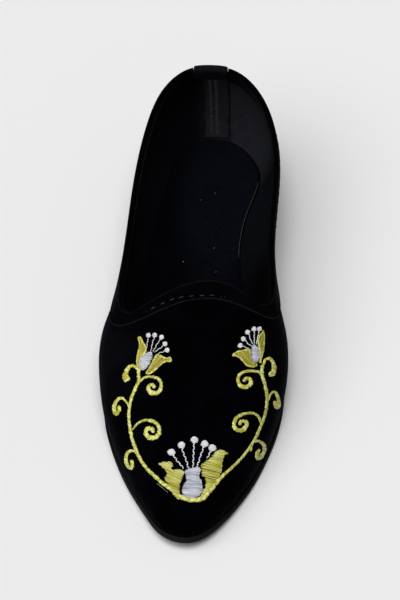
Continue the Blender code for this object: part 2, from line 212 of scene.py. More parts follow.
def rib_point(around, up):
    """Points on the upper's outer face: degrees around from the toe, share of the way up the rib."""
    around, up = np.broadcast_arrays(np.asarray(around, float), np.asarray(up, float))
    rib = {name: curve(around)[..., None] for name, curve in RIB.items()}
    foot, outward = feather_plan(around)
    start = np.stack([foot[..., 0], foot[..., 1], seat_height(foot[..., 1]) + GAP], -1)
    end = np.concatenate([rib["side"] * BALL_WIDTH, station_y(rib["station"]), rib["height"] * MM], -1)
    flat = np.concatenate([outward, np.zeros(around.shape + (1,))], -1)
    upright = np.array([0.0, 0.0, MM])
    first = start + flat * (rib["flank"] * MM) + upright * rib["rise"]
    back = (start - end) * np.array([1.0, 1.0, 0.0]) * rib["reach"]
    second = end + back + flat * (rib["shoulder"] * MM) - upright * rib["drop"]
    up = up[..., None]
    down = 1 - up
    return start * down**3 + first * (3 * down**2 * up) + second * (3 * down * up**2) + end * up**3


def rib_frame(around, up):
    """Points, outward normals and directions up the rib."""
    turn, climb = 0.25, 0.01
    around, up = np.broadcast_arrays(np.asarray(around, float), np.asarray(up, float))
    above, below = np.minimum(1.0, up + climb), np.maximum(0.0, up - climb)
    upward = unit(rib_point(around, above) - rib_point(around, below))
    along = rib_point(around + turn, up) - rib_point(around - turn, up)
    return rib_point(around, up), unit(np.cross(along, upward)), upward


def ups_below(around, down):
    """For each rib, the value of up this many mm below the topline."""
    share = np.linspace(1, 0, 81)
    points = rib_point(np.asarray(around, float)[:, None], share[None, :])
    gaps = np.linalg.norm(np.diff(points, axis=1), axis=-1)
    lengths = np.concatenate([np.zeros((len(points), 1)), np.cumsum(gaps, 1)], 1)
    return np.array([np.interp(down * MM, row, share) for row in lengths])


def skin(around, down, off):
    """Points this many mm below the topline and off the wall's outer face, and the normals there."""
    point, normal, _ = rib_frame(around, ups_below(around, down))
    return point + normal * np.broadcast_to(np.asarray(off) * MM, len(point))[:, None], normal


TOP = rib_point(180.0, 1.0)


def back_point(x, z, offset):
    """The points at x and z on a face that lies this far outside the back of the upper."""
    x, z, offset = np.broadcast_arrays(np.asarray(x, float), np.asarray(z, float), np.asarray(offset, float))
    level = np.minimum(z, TOP[2])
    around = np.full(x.shape, 180.0)
    up = level / TOP[2]
    for _ in range(12):
        surface, normal, _ = rib_frame(around, up)
        point = surface + normal * offset[..., None]
        around = around + (point[..., 0] - x) / MM
        up = np.minimum(1.0, up + (level - point[..., 2]) / TOP[2])
    return np.stack([x, point[..., 1], z], -1)


def notch_boxes(depth, slit_depth):
    """The boxes that open the wall for the tab, with a deeper slit at each side of it."""
    half = TAB_WIDTH / 2
    near, far = TOP[1] - CUTTER_REACH, TOP[1] + CUTTER_REACH
    left, right = -half - NOTCH_SLIT - SLIT_SPREAD[0], half + NOTCH_SLIT + SLIT_SPREAD[1]
    spans = [
        (left, right, depth),
        (left, -half + CUTTER_LAP, slit_depth),
        (half - CUTTER_LAP, right, slit_depth),
    ]
    return [
        ((TOP[0] + low, near, TOP[2] - deep), (TOP[0] + high, far, TOP[2] + CUTTER_REACH))
        for low, high, deep in spans
    ]


# ---- Meshes


def place(name, data):
    """A new object in the scene."""
    made = bpy.data.objects.new(name, data)
    bpy.context.scene.collection.objects.link(made)
    return made


def mesh_of(name, points, faces):
    mesh = bpy.data.meshes.new(name)
    mesh.from_pydata(points, [], faces)
    return mesh


class Mesher:
    """Collects grids of points into one mesh.  UVs are in mm: u along the columns, v along the rows."""

    def __init__(self):
        self.points = []
        self.faces = []
        self.uvs = []
        self.count = 0

    def add(self, grid, u, v, ring=False, tube=False, caps=False, shear=0.0, swap=False):
        """ring joins the last column to the first, tube the last row to the first.

        shear slants u by so much of v; swap exchanges the two."""
        columns, rows = grid.shape[:2]
        wide = columns if ring else columns - 1
        high = rows if tube else rows - 1
        i, j = (a.ravel() for a in np.meshgrid(np.arange(wide), np.arange(high), indexing="ij"))
        i2, j2 = (i + 1) % columns, (j + 1) % rows
        corner = [i * rows + j, i2 * rows + j, i2 * rows + j2, i * rows + j2]
        self.faces += (np.stack(corner, 1) + self.count).tolist()
        spots = [(i, j), (i + 1, j), (i + 1, j + 1), (i, j + 1)]
        uv = np.stack([np.stack([u[a] + shear * v[b], v[b]], -1) for a, b in spots], 1).reshape(-1, 2)
        self.uvs.append(uv[:, ::-1] if swap else uv)
        if caps:
            first = np.arange(rows) + self.count
            last = first + (columns - 1) * rows
            self.faces += [first[::-1].tolist(), last.tolist()]
            self.uvs += [np.full((rows, 2), u[0]), np.full((rows, 2), u[columns - 1])]
        self.points.append(grid.reshape(-1, 3))
        self.count += columns * rows

    def build(self, name, material, slot, sharp=None):
        mesh = mesh_of(name, np.concatenate(self.points).tolist(), self.faces)
        layer = mesh.uv_layers.new(name="UVMap")
        layer.data.foreach_set("uv", np.concatenate(self.uvs).astype(np.float32).ravel())
        mesh.validate()
        mesh.shade_smooth()
        if sharp:
            mesh.set_sharp_from_angle(angle=math.radians(sharp))
        piece = place(name, mesh)
        mesh.materials.append(material)
        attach(piece, "root")
        return piece


def cut_boxes(piece, boxes):
    """Cuts boxes, given by their low and high corners, out of a piece."""
    sides = [(0, 1, 3, 2), (4, 6, 7, 5), (0, 4, 5, 1), (2, 3, 7, 6), (0, 2, 6, 4), (1, 5, 7, 3)]
    for box in boxes:
        corners = [(x[0], y[1], z[2]) for x in box for y in box for z in box]
        cutter = place("cutter", mesh_of("cutter", corners, sides))
        boolean = piece.modifiers.new("cut", "BOOLEAN")
        boolean.operation = "DIFFERENCE"
        boolean.solver = "EXACT"
        boolean.object = cutter
        bpy.context.view_layer.update()
        whole = piece.evaluated_get(bpy.context.evaluated_depsgraph_get())
        result = bpy.data.meshes.new_from_object(whole)
        piece.modifiers.clear()
        piece.data = result
        bpy.data.objects.remove(cutter)


def run_of(points):
    """Running lengths of an open line of points, starting at 0."""
    return np.concatenate([[0.0], np.cumsum(np.linalg.norm(np.diff(points, axis=0), axis=-1))])


def lengths_along(points):
    return run_of(points) / MM


def extended(lengths):
    """The lengths with one more value, for a grid that joins up."""
    return np.append(lengths, 2 * lengths[-1] - lengths[-2])


def around_lengths(ring):
    """Running lengths of a closed line, with the one that closes it."""
    return lengths_along(np.append(ring, ring[:1], 0))


def smooth_line(points, step, closed=False):
    """A smooth line through points, as points a step apart."""
    p = np.array(points, float)
    if closed:
        p = np.concatenate([p[-1:], p, p[:2]])
    else:
        p = np.concatenate([2 * p[:1] - p[1:2], p, 2 * p[-1:] - p[-2:-1]])
    t = np.linspace(0, 1, 24, endpoint=False)[:, None]
    parts = []
    for a, b, c, d in zip(p, p[1:], p[2:], p[3:]):
        bend = (2 * a - 5 * b + 4 * c - d) * t**2 + (3 * b - a - 3 * c + d) * t**3
        parts.append(0.5 * (2 * b + (c - a) * t + bend))
    line = np.concatenate(parts + [p[-2:-1]])
    run = run_of(line)
    even = np.linspace(0, run[-1], max(3, int(round(run[-1] / step)) + 1))
    return np.stack([np.interp(even, run, line[:, k]) for k in range(p.shape[1])], -1)


# ---- Materials

# An upright ellipse, in metres, with a soft border (a share of its size), where a cloth has other tones.
Zone = namedtuple("Zone", "x y half_x half_y soft dark light")
WAVE_MM = 0.314  # a wave texture's scale for bands 1 mm apart


class Shader:
    """A Principled material with helpers for its nodes."""

    def __init__(self, name, roughness, specular=0.0, sheen=0.0, sheen_roughness=0.5, sheen_tint=(1, 1, 1)):
        self.material = bpy.data.materials.new(name)
        self.material.use_nodes = True
        self.nodes = self.material.node_tree.nodes
        self.links = self.material.node_tree.links
        self.main = self.nodes["Principled BSDF"]
        self.feed(self.main.inputs["Roughness"], roughness)
        self.feed(self.main.inputs["Specular IOR Level"], specular)
        self.feed(self.main.inputs["Sheen Weight"], sheen)
        self.feed(self.main.inputs["Sheen Roughness"], sheen_roughness)
        self.feed(self.main.inputs["Sheen Tint"], sheen_tint)
        self.coords = self.node("TexCoord")

    def node(self, kind, **settings):
        made = self.nodes.new("ShaderNode" + kind)
        for key, value in settings.items():
            if key in made.inputs:
                made.inputs[key].default_value = value
            else:
                setattr(made, key, value)
        return made

    def feed(self, socket, value):
        """Links a node's output to a socket, or sets the socket to a number or colour."""
        if isinstance(value, (int, float)):
            socket.default_value = value
        elif isinstance(value, tuple):
            socket.default_value = (*value, 1)
        else:
            self.links.new(value, socket)

    def mapped(self, space, scale):
        mapping = self.node("Mapping", Scale=scale)
        self.links.new(self.coords.outputs[space], mapping.inputs["Vector"])
        return mapping.outputs["Vector"]

    def noise(self, scale, detail=2.0, rough=0.5, vector=None, distortion=0.0):
        made = self.node("TexNoise", Scale=scale, Detail=detail, Roughness=rough, Distortion=distortion)
        self.links.new(vector or self.coords.outputs["Object"], made.inputs["Vector"])
        return made.outputs["Fac"]

    def waves(self, scale, direction, distortion=0.0):
        """Sine bands across the UV map."""
        made = self.node("TexWave", bands_direction=direction, Scale=scale, Distortion=distortion)
        self.links.new(self.coords.outputs["UV"], made.inputs["Vector"])
        return made.outputs["Fac"]

    def ramp(self, source, *stops):
        """stops: (position, colour or grey) pairs."""
        made = self.node("ValToRGB")
        elements = made.color_ramp.elements
        while len(elements) < len(stops):
            elements.new(0.5)
        for element, (at, colour) in zip(elements, stops):
            element.position = at
            element.color = (*colour, 1) if isinstance(colour, tuple) else (colour, colour, colour, 1)
        self.links.new(source, made.inputs["Fac"])
        return made.outputs["Color"]

    def math(self, operation, a, b=0.5, clamp=False):
        made = self.node("Math", operation=operation, use_clamp=clamp)
        self.feed(made.inputs[0], a)
        self.feed(made.inputs[1], b)
        return made.outputs["Value"]

    def weighted(self, *parts):
        """The sum of (value, weight) parts."""
        first, *rest = [self.math("MULTIPLY", value, weight) for value, weight in parts]
        for part in rest:
            first = self.math("ADD", first, part)
        return first

    def mix(self, share, a, b):
        made = self.node("Mix", data_type="RGBA")
        for socket, value in zip((made.inputs["Factor"], made.inputs[6], made.inputs[7]), (share, a, b)):
            self.feed(socket, value)
        return made.outputs[2]

    def axis(self, space, name):
        split = self.node("SeparateXYZ")
        self.links.new(self.coords.outputs[space], split.inputs["Vector"])
        return split.outputs[name]

    def inside(self, zone):
        """1 well inside the zone's ellipse, 0 outside it."""
        squares = []
        for name, middle, half in (("X", zone.x, zone.half_x), ("Y", zone.y, zone.half_y)):
            away = self.math("SUBTRACT", self.axis("Object", name), middle)
            squares.append(self.math("POWER", self.math("DIVIDE", away, half), 2.0))
        reach = self.math("SQRT", self.math("ADD", *squares))
        return self.math("DIVIDE", self.math("SUBTRACT", 1 + zone.soft / 2, reach), zone.soft, clamp=True)

    def toned(self, share, low, high, dark, light, zones):
        """dark below the share's low to light above its high, in each zone between the zone's own tones."""
        colour = self.ramp(share, (low, dark), (high, light))
        for zone in zones:
            own = self.ramp(share, (low, zone.dark), (high, zone.light))
            colour = self.mix(self.inside(zone), colour, own)
        return colour

    def with_lines(self, colour, lines):
        """lines: (v in mm, half width, colour) for lines along the cloth's own rows: painted highlights along
        the binding's folds and painted shade along the strip's edges.
        """
        for at, half, tone in lines:
            away = self.math("ABSOLUTE", self.math("SUBTRACT", self.axis("UV", "Y"), at))
            near = self.math("SUBTRACT", 1.0, self.math("DIVIDE", away, half), clamp=True)
            patchy = self.ramp(self.noise(420, 3), (0.25, 0.35), (0.65, 1.0))
            colour = self.mix(self.math("MULTIPLY", near, patchy), colour, tone)
        return colour

    def colour(self, source):
        self.links.new(source, self.main.inputs["Base Color"])

    def bump(self, source, strength, depth):
        """depth in mm."""
        made = self.node("Bump", Strength=strength, Distance=depth * MM)
        self.links.new(source, made.inputs["Height"])
        previous = self.main.inputs["Normal"].links
        if previous:
            self.links.new(previous[0].from_socket, made.inputs["Normal"])
        self.links.new(made.outputs["Normal"], self.main.inputs["Normal"])


def velvet(name, dark, light, zones, lines=()):
    """Short pile: patches where the nap lies another way, fine grain and a soft bloom at grazing angles."""
    s = Shader(name, 1.0, sheen=0.030, sheen_roughness=0.35, sheen_tint=(0.75, 0.82, 1.0))
    nap = s.noise(45, 3, 0.6, distortion=0.6)
    pile = s.noise(2600, 2, 0.6)
    both = s.weighted((nap, 0.7), (pile, 0.3))
    s.colour(s.with_lines(s.toned(both, 0.38, 0.74, dark, light, zones), lines))
    s.bump(pile, 0.5, 0.25)
    s.bump(nap, 0.3, 0.6)
    return s.material


def woven(name, dark, light, thread, sheen=0.1, lint=0.0, zones=(), lines=()):
    """Plain weave with a thread spacing in mm, on the cloth's own rows."""
    s = Shader(name, 0.95, sheen=sheen, sheen_tint=(0.85, 0.9, 1.0))
    bands = WAVE_MM / thread
    cloth = s.math("MAXIMUM", s.waves(bands, "X", 0.6), s.waves(bands, "Y", 0.6))
    blotch = s.weighted((s.noise(70, 4, 0.6), 0.4), (s.noise(380, 3, 0.7), 0.6))
    share = s.weighted((cloth, 0.25), (blotch, 0.75))
    colour = s.toned(share, 0.44, 0.56, dark, light, zones)
    if lint:
        specks = s.ramp(s.noise(1300, 1, 0.4), (0.0, 0.0), (0.74, 0.0), (0.80, lint), (1.0, lint))
        colour = s.mix(specks, colour, (0.30, 0.30, 0.32))
    s.colour(s.with_lines(colour, lines))
    s.bump(cloth, 0.5, 0.12)
    s.bump(s.noise(1800, 2), 0.25, 0.1)
    return s.material


def satin_thread(name, gap, shade, bright, roughness=0.34, zones=()):
    """Embroidery thread.  u counts the threads and v runs along each, so u sets each one's tone and the
    painted shade in the gap beside it, and the fibres are streaks along v."""
    s = Shader(name, roughness, specular=0.5, sheen=0.1, sheen_roughness=0.4)
    each = s.noise(1.0, 0, 0.5, vector=s.mapped("UV", (0.45, 0.30, 1)))
    fibre = s.noise(7.0, 2, 0.6, vector=s.mapped("UV", (1.4, 0.10, 1)))
    share = s.weighted((each, 0.65), (fibre, 0.15), (s.noise(220, 2, 0.5), 0.2))
    tone = s.toned(share, 0.42, 0.56, shade, bright, zones)
    # The gap colour is painted shade in the valleys between the threads.
    valley_shade = s.ramp(s.waves(0.3142, "X"), (0.02, 1.0), (0.45, 0.0))
    s.colour(s.mix(valley_shade, tone, gap))
    s.bump(fibre, 0.35, 0.06)
    return s.material


def rubber(name, dark, light, rim, rim_at, pale_zone=None):
    """Matt rubber with fine grain, rubbed patches and short scuffs.

    rim: its grey below the v of rim_at, at the lower edge.  pale_zone: a Zone where the rubber is paler,
    where the zone's light is the rim's grey.  Where v is negative the rubber is under the sock and is painted
    black, as shade in the gap beside the sock."""
    s = Shader(name, 0.8, specular=0.04)
    grain = s.noise(1500, 3, 0.6)
    rubbed = s.noise(38, 4, 0.65)
    scuff = s.noise(9.0, 5, 0.7, vector=s.mapped("Object", (14, 14, 90)))
    colour = s.ramp(rubbed, (0.35, dark), (0.70, light))
    marks = s.ramp(scuff, (0.56, 0.0), (0.66, 0.55))
    colour = s.mix(marks, colour, tuple(c * 1.9 for c in light))
    v = s.axis("UV", "Y")
    low = s.math("DIVIDE", s.math("SUBTRACT", v, rim_at - 1.2), 1.4, clamp=True)
    low = s.math("MULTIPLY", low, s.ramp(s.noise(120, 3), (0.3, 0.45), (0.6, 1.0)))
    if pale_zone:
        inside = s.inside(pale_zone)
        colour = s.mix(inside, colour, pale_zone.dark)
        rim = s.mix(inside, rim, pale_zone.light)
    # The sole's top under the sock is painted black: painted shade where it shows in the gap beside the sock.
    under_sock_shade = s.math("LESS_THAN", v, -1.0)
    s.colour(s.mix(under_sock_shade, s.mix(low, colour, rim), (0.0006, 0.0006, 0.0008)))
    spread = s.node("MapRange", **{"To Min": 0.7, "To Max": 0.9})
    s.links.new(rubbed, spread.inputs["Value"])
    s.links.new(spread.outputs["Result"], s.main.inputs["Roughness"])
    s.bump(grain, 0.35, 0.12)
    s.bump(scuff, 0.3, 0.15)
    return s.material


def plain_floor():
    s = Shader("studio_floor", 0.95)
    s.colour(s.ramp(s.noise(3, 2), (0.3, 0.845), (0.7, 0.855)))
    return s.material


VELVET_BLACK = velvet(
    "velvet_black", (0.0003, 0.0003, 0.0006), (0.0016, 0.0016, 0.0026),
    # The zone paints the lateral flank of the forefoot lighter and bluer: painted light and sheen on the side
    # that faces the lamps.
    zones=[Zone(-0.035, -0.064, 0.016, 0.058, 0.80, (0.0006, 0.0006, 0.0010), (0.0040, 0.0040, 0.0056))],
)
BINDING_BLACK = velvet(
    "binding_velvet", (0.0005, 0.0005, 0.0008), (0.0018, 0.0018, 0.0025),
    zones=[Zone(0.0, -0.012, 0.052, 0.026, 0.40, (0.0003, 0.0003, 0.0005), (0.0026, 0.0027, 0.0037))],
    # The two lighter lines are painted highlights on the tape's rounded hem at its lower edge and on its fold
    # over the topline.
    lines=[(0.9, 0.6, (0.014, 0.014, 0.016)), (9.4, 0.55, (0.008, 0.008, 0.010))],
)
LINING_CLOTH = woven(
    "lining_cloth", (0.0014, 0.0016, 0.0027), (0.0040, 0.0044, 0.0064), 0.45, sheen=0.006,
    zones=[
        # The first zone paints the medial back of the heel lining lighter, as painted light; the second
        # paints the medial wall towards the throat darker, as painted shade.
        Zone(0.027, 0.125, 0.030, 0.037, 0.55, (0.011, 0.0114, 0.0155), (0.0245, 0.0252, 0.0315)),
        Zone(0.034, -0.002, 0.026, 0.026, 0.50, (0.0003, 0.0003, 0.0005), (0.0010, 0.0011, 0.0015)),
    ],
)
STRIP_CLOTH = woven(
    "strip_cloth", (0.0090, 0.0091, 0.0125), (0.0220, 0.0222, 0.0280), 0.5, sheen=0.008,
    # The two dark lines are painted shade along the strip's edges, where it stands off the lining.
    lines=[(0.1, 1.3, (0.002, 0.002, 0.003)), (13.3, 1.3, (0.002, 0.002, 0.003))],
)
TAB_TAPE = woven("tab_tape", (0.0026, 0.0028, 0.0042), (0.0074, 0.0077, 0.0104), 0.6, sheen=0.006)
SOCK_CLOTH = woven(
    "sock_cloth", (0.0006, 0.0007, 0.0012), (0.0016, 0.0018, 0.0030), 0.5, sheen=0.004, lint=0.02,
    # The zone paints the middle and back of the insole lighter, as painted light, so the front under the vamp
    # and the sides stay darker as painted shade.
    zones=[Zone(0.006, 0.076, 0.021, 0.049, 0.50, (0.0014, 0.0016, 0.0029), (0.0037, 0.0041, 0.0066))],
)
# A pale cord along the sock's medial edge: a painted highlight.
SOCK_EDGE_HIGHLIGHT = woven("sock_edge_highlight", (0.014, 0.014, 0.015), (0.042, 0.042, 0.045), 0.4)
STITCH_GREY = satin_thread(
    "stitch_grey", (0.006, 0.006, 0.007), (0.012, 0.012, 0.014), (0.036, 0.036, 0.040), 0.7
)
SEAM_GREY = satin_thread(
    "seam_grey", (0.010, 0.010, 0.013), (0.024, 0.024, 0.029), (0.046, 0.046, 0.054), 0.7
)
THREAD_YELLOW = satin_thread(
    "thread_yellow", (0.14, 0.125, 0.004), (0.56, 0.55, 0.028), (1.0, 1.0, 0.35),
    # The zone paints the threads on the medial flank darker: painted shade on the side turned away from the
    # lamps.
    zones=[Zone(0.044, -0.072, 0.017, 0.038, 0.80, (0.40, 0.39, 0.035), (0.76, 0.75, 0.25))],
)
THREAD_OLIVE = satin_thread(
    "thread_olive", (0.09, 0.07, 0.001), (0.38, 0.32, 0.004), (0.76, 0.66, 0.026),
    # The zone paints the olive of the medial small flower darker: painted shade on the side turned away from
    # the lamps.
    zones=[Zone(0.034, -0.038, 0.006, 0.016, 0.80, (0.17, 0.15, 0.004), (0.38, 0.34, 0.030))],
)
THREAD_SILVER = satin_thread("thread_silver", (0.18, 0.19, 0.24), (0.54, 0.56, 0.64), (0.94, 0.96, 1.0))
THREAD_WHITE = satin_thread("thread_white", (0.50, 0.50, 0.53), (0.80, 0.80, 0.84), (1.0, 1.0, 1.0))
LINT = satin_thread("lint", (0.15, 0.15, 0.16), (0.2, 0.2, 0.21), (0.4, 0.4, 0.42), 0.8)
SOLE_RUBBER = rubber(
    "sole_rubber", (0.0013, 0.0013, 0.0014), (0.0036, 0.0036, 0.0037), (0.008, 0.008, 0.008), 5.0,
    # The zone makes the rubber paler at the lateral side of the toe.
    pale_zone=Zone(-0.014, -0.106, 0.027, 0.034, 0.60, (0.0095, 0.0095, 0.0096), (0.030, 0.030, 0.030)),
)
HEEL_RUBBER = rubber(
    "heel_rubber", (0.0024, 0.0024, 0.0025), (0.0060, 0.0060, 0.0062), (0.012, 0.012, 0.012), 8.0
)


# ---- Upper

# Soft creases of the velvet: a line of (around, up) points, the trough's depth and half width in mm.
# A negative depth is a ridge.
Crease = namedtuple("Crease", "line depth width")
CREASES = [
    Crease([(84, 0.80), (76, 0.62), (68, 0.46), (62, 0.30)], 0.26, 4.5),
    Crease([(92, 0.72), (84, 0.52), (78, 0.34), (74, 0.20)], 0.20, 4.0),
    Crease([(80, 0.72), (72, 0.54), (66, 0.38)], -0.15, 3.5),
    Crease([(276, 0.80), (284, 0.62), (292, 0.46), (298, 0.30)], 0.26, 4.5),
    Crease([(266, 0.74), (272, 0.54), (278, 0.36), (284, 0.22)], 0.20, 4.0),
    Crease([(282, 0.70), (288, 0.54), (294, 0.40)], -0.15, 3.5),
    Crease([(104, 0.80), (112, 0.45), (116, 0.15)], 0.20, 6.0),
    Crease([(252, 0.80), (246, 0.45), (243, 0.15)], 0.20, 6.0),
    Crease([(150, 0.10), (150, 0.45), (146, 0.80)], -0.18, 3.0),
    Crease([(210, 0.10), (210, 0.45), (214, 0.80)], -0.18, 3.0),
    Crease([(20, 0.52), (345, 0.50)], 0.20, 6.0),
]
PUCKER_HEIGHT = 6.0  # of the puckers where the velvet is drawn in at the sole
PUCKER_DEPTH = 0.13
PUCKERS = 46
PUCKERS_LEFT = 0.35  # the share of their depth that is left at the heel
TUCK_HEIGHT = 1.6  # of the roll towards the sole
TUCK_DEPTH = 0.45
VELVET_SHARE = 0.6  # of the wall, the rest is lining
CLOTH_GAP = 0.00002  # between the velvet and the lining
FOOT_ROWS = 1.15  # above 1, a shell's rows lie closer at the foot
FACE_V = 60  # v from the foot to the topline


def relief(grid, around, run):
    """How far the velvet stands off its plain form, in mm.  run: mm up from the feather line."""
    points = grid.reshape(-1, 3)
    off = np.zeros(len(points))
    for crease in CREASES:
        line = np.array(crease.line, float)
        turns = np.where(line[:, 0] - line[0, 0] > 180, line[:, 0] - 360, line[:, 0])
        share = np.linspace(0, len(line) - 1, 24)
        path = rib_point(*(np.interp(share, np.arange(len(line)), knots) for knots in (turns, line[:, 1])))
        gap = np.linalg.norm(points[:, None, :] - path[None, :, :], axis=-1) / MM
        fade = np.sin(np.pi * np.linspace(0.12, 0.88, len(path))) ** 0.7
        off -= crease.depth * np.max(fade[None, :] * np.exp(-((gap / crease.width) ** 2)), 1)
    wave = np.sin(np.radians(around) * PUCKERS)[:, None] * np.exp(-((run / PUCKER_HEIGHT) ** 2))
    toe = (PUCKERS_LEFT + (1 - PUCKERS_LEFT) * np.cos(np.radians(around) / 2) ** 2)[:, None]
    tuck = -TUCK_DEPTH * np.clip(1 - run / TUCK_HEIGHT, 0, 1) ** 2
    return off.reshape(grid.shape[:2]) + PUCKER_DEPTH * wave * toe + tuck


def shell(name, count, rows, outer, inner, material, ruffled):
    """A closed wall of cloth from the feather line to the topline, between two offsets of the form."""
    around = np.linspace(0, 360, count, endpoint=False)
    points, normals, _ = rib_frame(around[:, None], np.linspace(0, 1, rows)[None, :] ** FOOT_ROWS)
    raise_by = np.full(points.shape[:2], outer / MM)
    if ruffled:
        raise_by = raise_by + relief(points, around, np.array([lengths_along(rib) for rib in points]))
    front = points + normals * (raise_by * MM)[..., None]
    back = points + normals * inner
    grid = np.concatenate([front, back[:, ::-1]], 1)
    level = lengths_along(rib_point(np.append(around, 360.0), 0.5))
    up = np.linspace(0, FACE_V, rows)
    mesher = Mesher()
    mesher.add(grid, ring=True, tube=True, u=level, v=np.concatenate([up, up + FACE_V + 1, [2 * FACE_V + 2]]))
    piece = mesher.build(name, material, "upper", sharp=50)
    cut_boxes(piece, notch_boxes(NOTCH_DEPTH, SLIT_DEPTH))
    return piece, front


columns, rows = ((420, 84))
seam = -WALL * VELVET_SHARE
upper, face_grid = shell("upper_velvet", columns, rows, 0.0, seam, VELVET_BLACK, True)
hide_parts("upper")
lining, _ = shell("lining", 260, 40, seam - CLOTH_GAP, -WALL, LINING_CLOTH, False)
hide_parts("upper")


# ---- Topline binding

STITCH_DOWN = 6.2  # below the topline
STITCH_LONG = 2.1
STITCH_PITCH = 4.8
STITCH_WIDE = 0.20
STITCH_HIGH = 0.14
STITCH_LIFT = 0.06
STITCH_JITTER = 0.12
STITCH_BURY = 0.10  # how deep a stitch's ends go into the cloth
STITCH_CLEAR = 0.0012  # from the tab
PUFF = 0.10  # of the tape between stitches
PUFF_REACH = 1.1  # to each side of the row
CLOSE = 0.02  # from the tape's inner skin to the wall
CLOSE_ROWS = (1.5, 4.0, 6.5)  # where that skin's rows lie, below the topline
# At the throat the row climbs towards the topline on its lateral side, and sinks into the tape at both
# sides: (the x where this starts, the distance over which it grows), in metres.
THROAT_END = 0.02
CLIMB = 1.7
CLIMB_SIDE = (0.002, -0.014)
SINK = 0.60
SINK_SIDES = [(0.006, 0.012), (-0.018, -0.009)]
# The tape's outer skin on each leg: mm below the topline, mm off the wall.
LEG = [
    (7.70, 0.05), (7.95, 0.25), (7.98, 0.50), (7.85, 0.74), (7.60, 0.84), (7.25, 0.80), (6.90, 0.70),
    (6.55, 0.60), (STITCH_DOWN, 0.54), (5.80, 0.60), (5.30, 0.69), (4.30, 0.74), (3.40, 0.76), (2.50, 0.76),
    (1.60, 0.75), (0.80, 0.75),
]
INNER_LEG = [
    (0.80, 0.62), (1.60, 0.60), (2.50, 0.58), (3.40, 0.58), (4.30, 0.57), (5.30, 0.53), (5.80, 0.47),
    (STITCH_DOWN, 0.42), (6.55, 0.47), (6.90, 0.54), (7.25, 0.60), (7.50, 0.60), (7.75, 0.50), (7.85, 0.30),
    (7.75, 0.08),
]


def binding_piece():
    around = np.linspace(-180, 180, 620, endpoint=False)
    edge, edge_normal, edge_up = rib_frame(around, np.ones(len(around)))
    middle = edge - edge_normal * (WALL / 2)
    run = lengths_along(rib_point(around, ups_below(around, STITCH_DOWN)))
    pull = 0.5 - 0.5 * np.cos(2 * np.pi * run / STITCH_PITCH)
    rows = []
    for down, off in LEG:
        near = math.exp(-(((down - STITCH_DOWN) / PUFF_REACH) ** 2))
        rows.append(skin(around, down, off + PUFF * near * (pull - 0.5))[0])
    for degrees in range(0, 181, 15):
        angle = math.radians(degrees)
        radius = WALL / 2 + (LEG[-1][1] * (1 - degrees / 180) + INNER_LEG[0][1] * degrees / 180) * MM
        rows.append(middle + (edge_normal * math.cos(angle) + edge_up * math.sin(angle)) * radius)
    inside = -WALL / MM
    rows += [skin(around, down, inside - off)[0] for down, off in INNER_LEG]
    rows += [skin(around, down, inside - CLOSE)[0] for down in CLOSE_ROWS[::-1]]
    rows.append(middle - edge_normal * (WALL / 2 + CLOSE * MM))
    rows.append(middle + edge_up * 2 * CLOSE * MM)
    rows.append(middle + edge_normal * (WALL / 2 + CLOSE * MM))
    rows += [skin(around, down, CLOSE)[0] for down in CLOSE_ROWS]
    grid = np.stack(rows, 1)
    mesher = Mesher()
    mesher.add(grid, ring=True, tube=True, u=extended(run), v=extended(lengths_along(grid[len(grid) // 2])))
    piece = mesher.build("binding_tape", BINDING_BLACK, "binding", sharp=60)
    cut_boxes(piece, notch_boxes(BAY_DEPTH, BAY_DEPTH)[:1])
    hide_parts("topline_binding")
    return around, run


def stitch(mesher, start, end, normal, wide, high):
    """One stitch: a rounded thread that leaves the cloth at one end and goes back in at the other."""
    along = end - start
    side = unit(np.cross(normal, along))
    t = np.linspace(0, 1, 7)
    lift = (np.sin(np.pi * t) ** 0.5 * (high + STITCH_BURY) - STITCH_BURY) * MM
    turns = np.radians(np.arange(0, 360, 60))
    body = 0.55 + 0.45 * np.sin(np.pi * t) ** 0.4
    centre = start + along * t[:, None] + normal * lift[:, None]
    ring = side * np.cos(turns)[:, None] + normal * np.sin(turns)[:, None]
    grid = centre[:, None, :] + ring * wide * MM * body[:, None, None]
    u = np.linspace(0, 1, 8) * 0.3 + rng.random() * 50
    mesher.add(grid, tube=True, caps=True, u=u, v=np.arange(7.0) * 0.2)


def row_of_stitches():
    mesher = Mesher()
    around, run = binding_piece()
    for start in np.arange(1.0, run[-1] - STITCH_LONG, STITCH_PITCH):
        begin = start + rng.uniform(-STITCH_JITTER, STITCH_JITTER)
        ends = np.interp([begin, begin + STITCH_LONG], run, around)
        edge = rib_point(ends, 1.0)
        at_tab = np.any(np.abs(edge[:, 0] - TOP[0]) < TAB_WIDTH / 2 + STITCH_CLEAR)
        if at_tab and abs(ends[0]) > 90:
            continue
        down, high = STITCH_DOWN, STITCH_HIGH
        at_throat = edge[0, 1] < THROAT_END
        if at_throat:
            down -= CLIMB * smooth((edge[0, 0] - CLIMB_SIDE[0]) / CLIMB_SIDE[1])
        point, normal = skin(ends, down, np.interp(down, *zip(*sorted(LEG))) + STITCH_LIFT)
        if at_throat:
            high -= SINK * sum(smooth((point[0, 0] - side) / over) for side, over in SINK_SIDES)
        stitch(mesher, point[0], point[1], unit(normal.mean(0)), STITCH_WIDE, high)
    mesher.build("binding_stitches", STITCH_GREY, "binding")


row_of_stitches()


# ---- Pull tab and heel strip

TAPE_EDGE = 0.0875  # the share of a tape's half width over which its edge thins
EDGE_THIN = 0.45


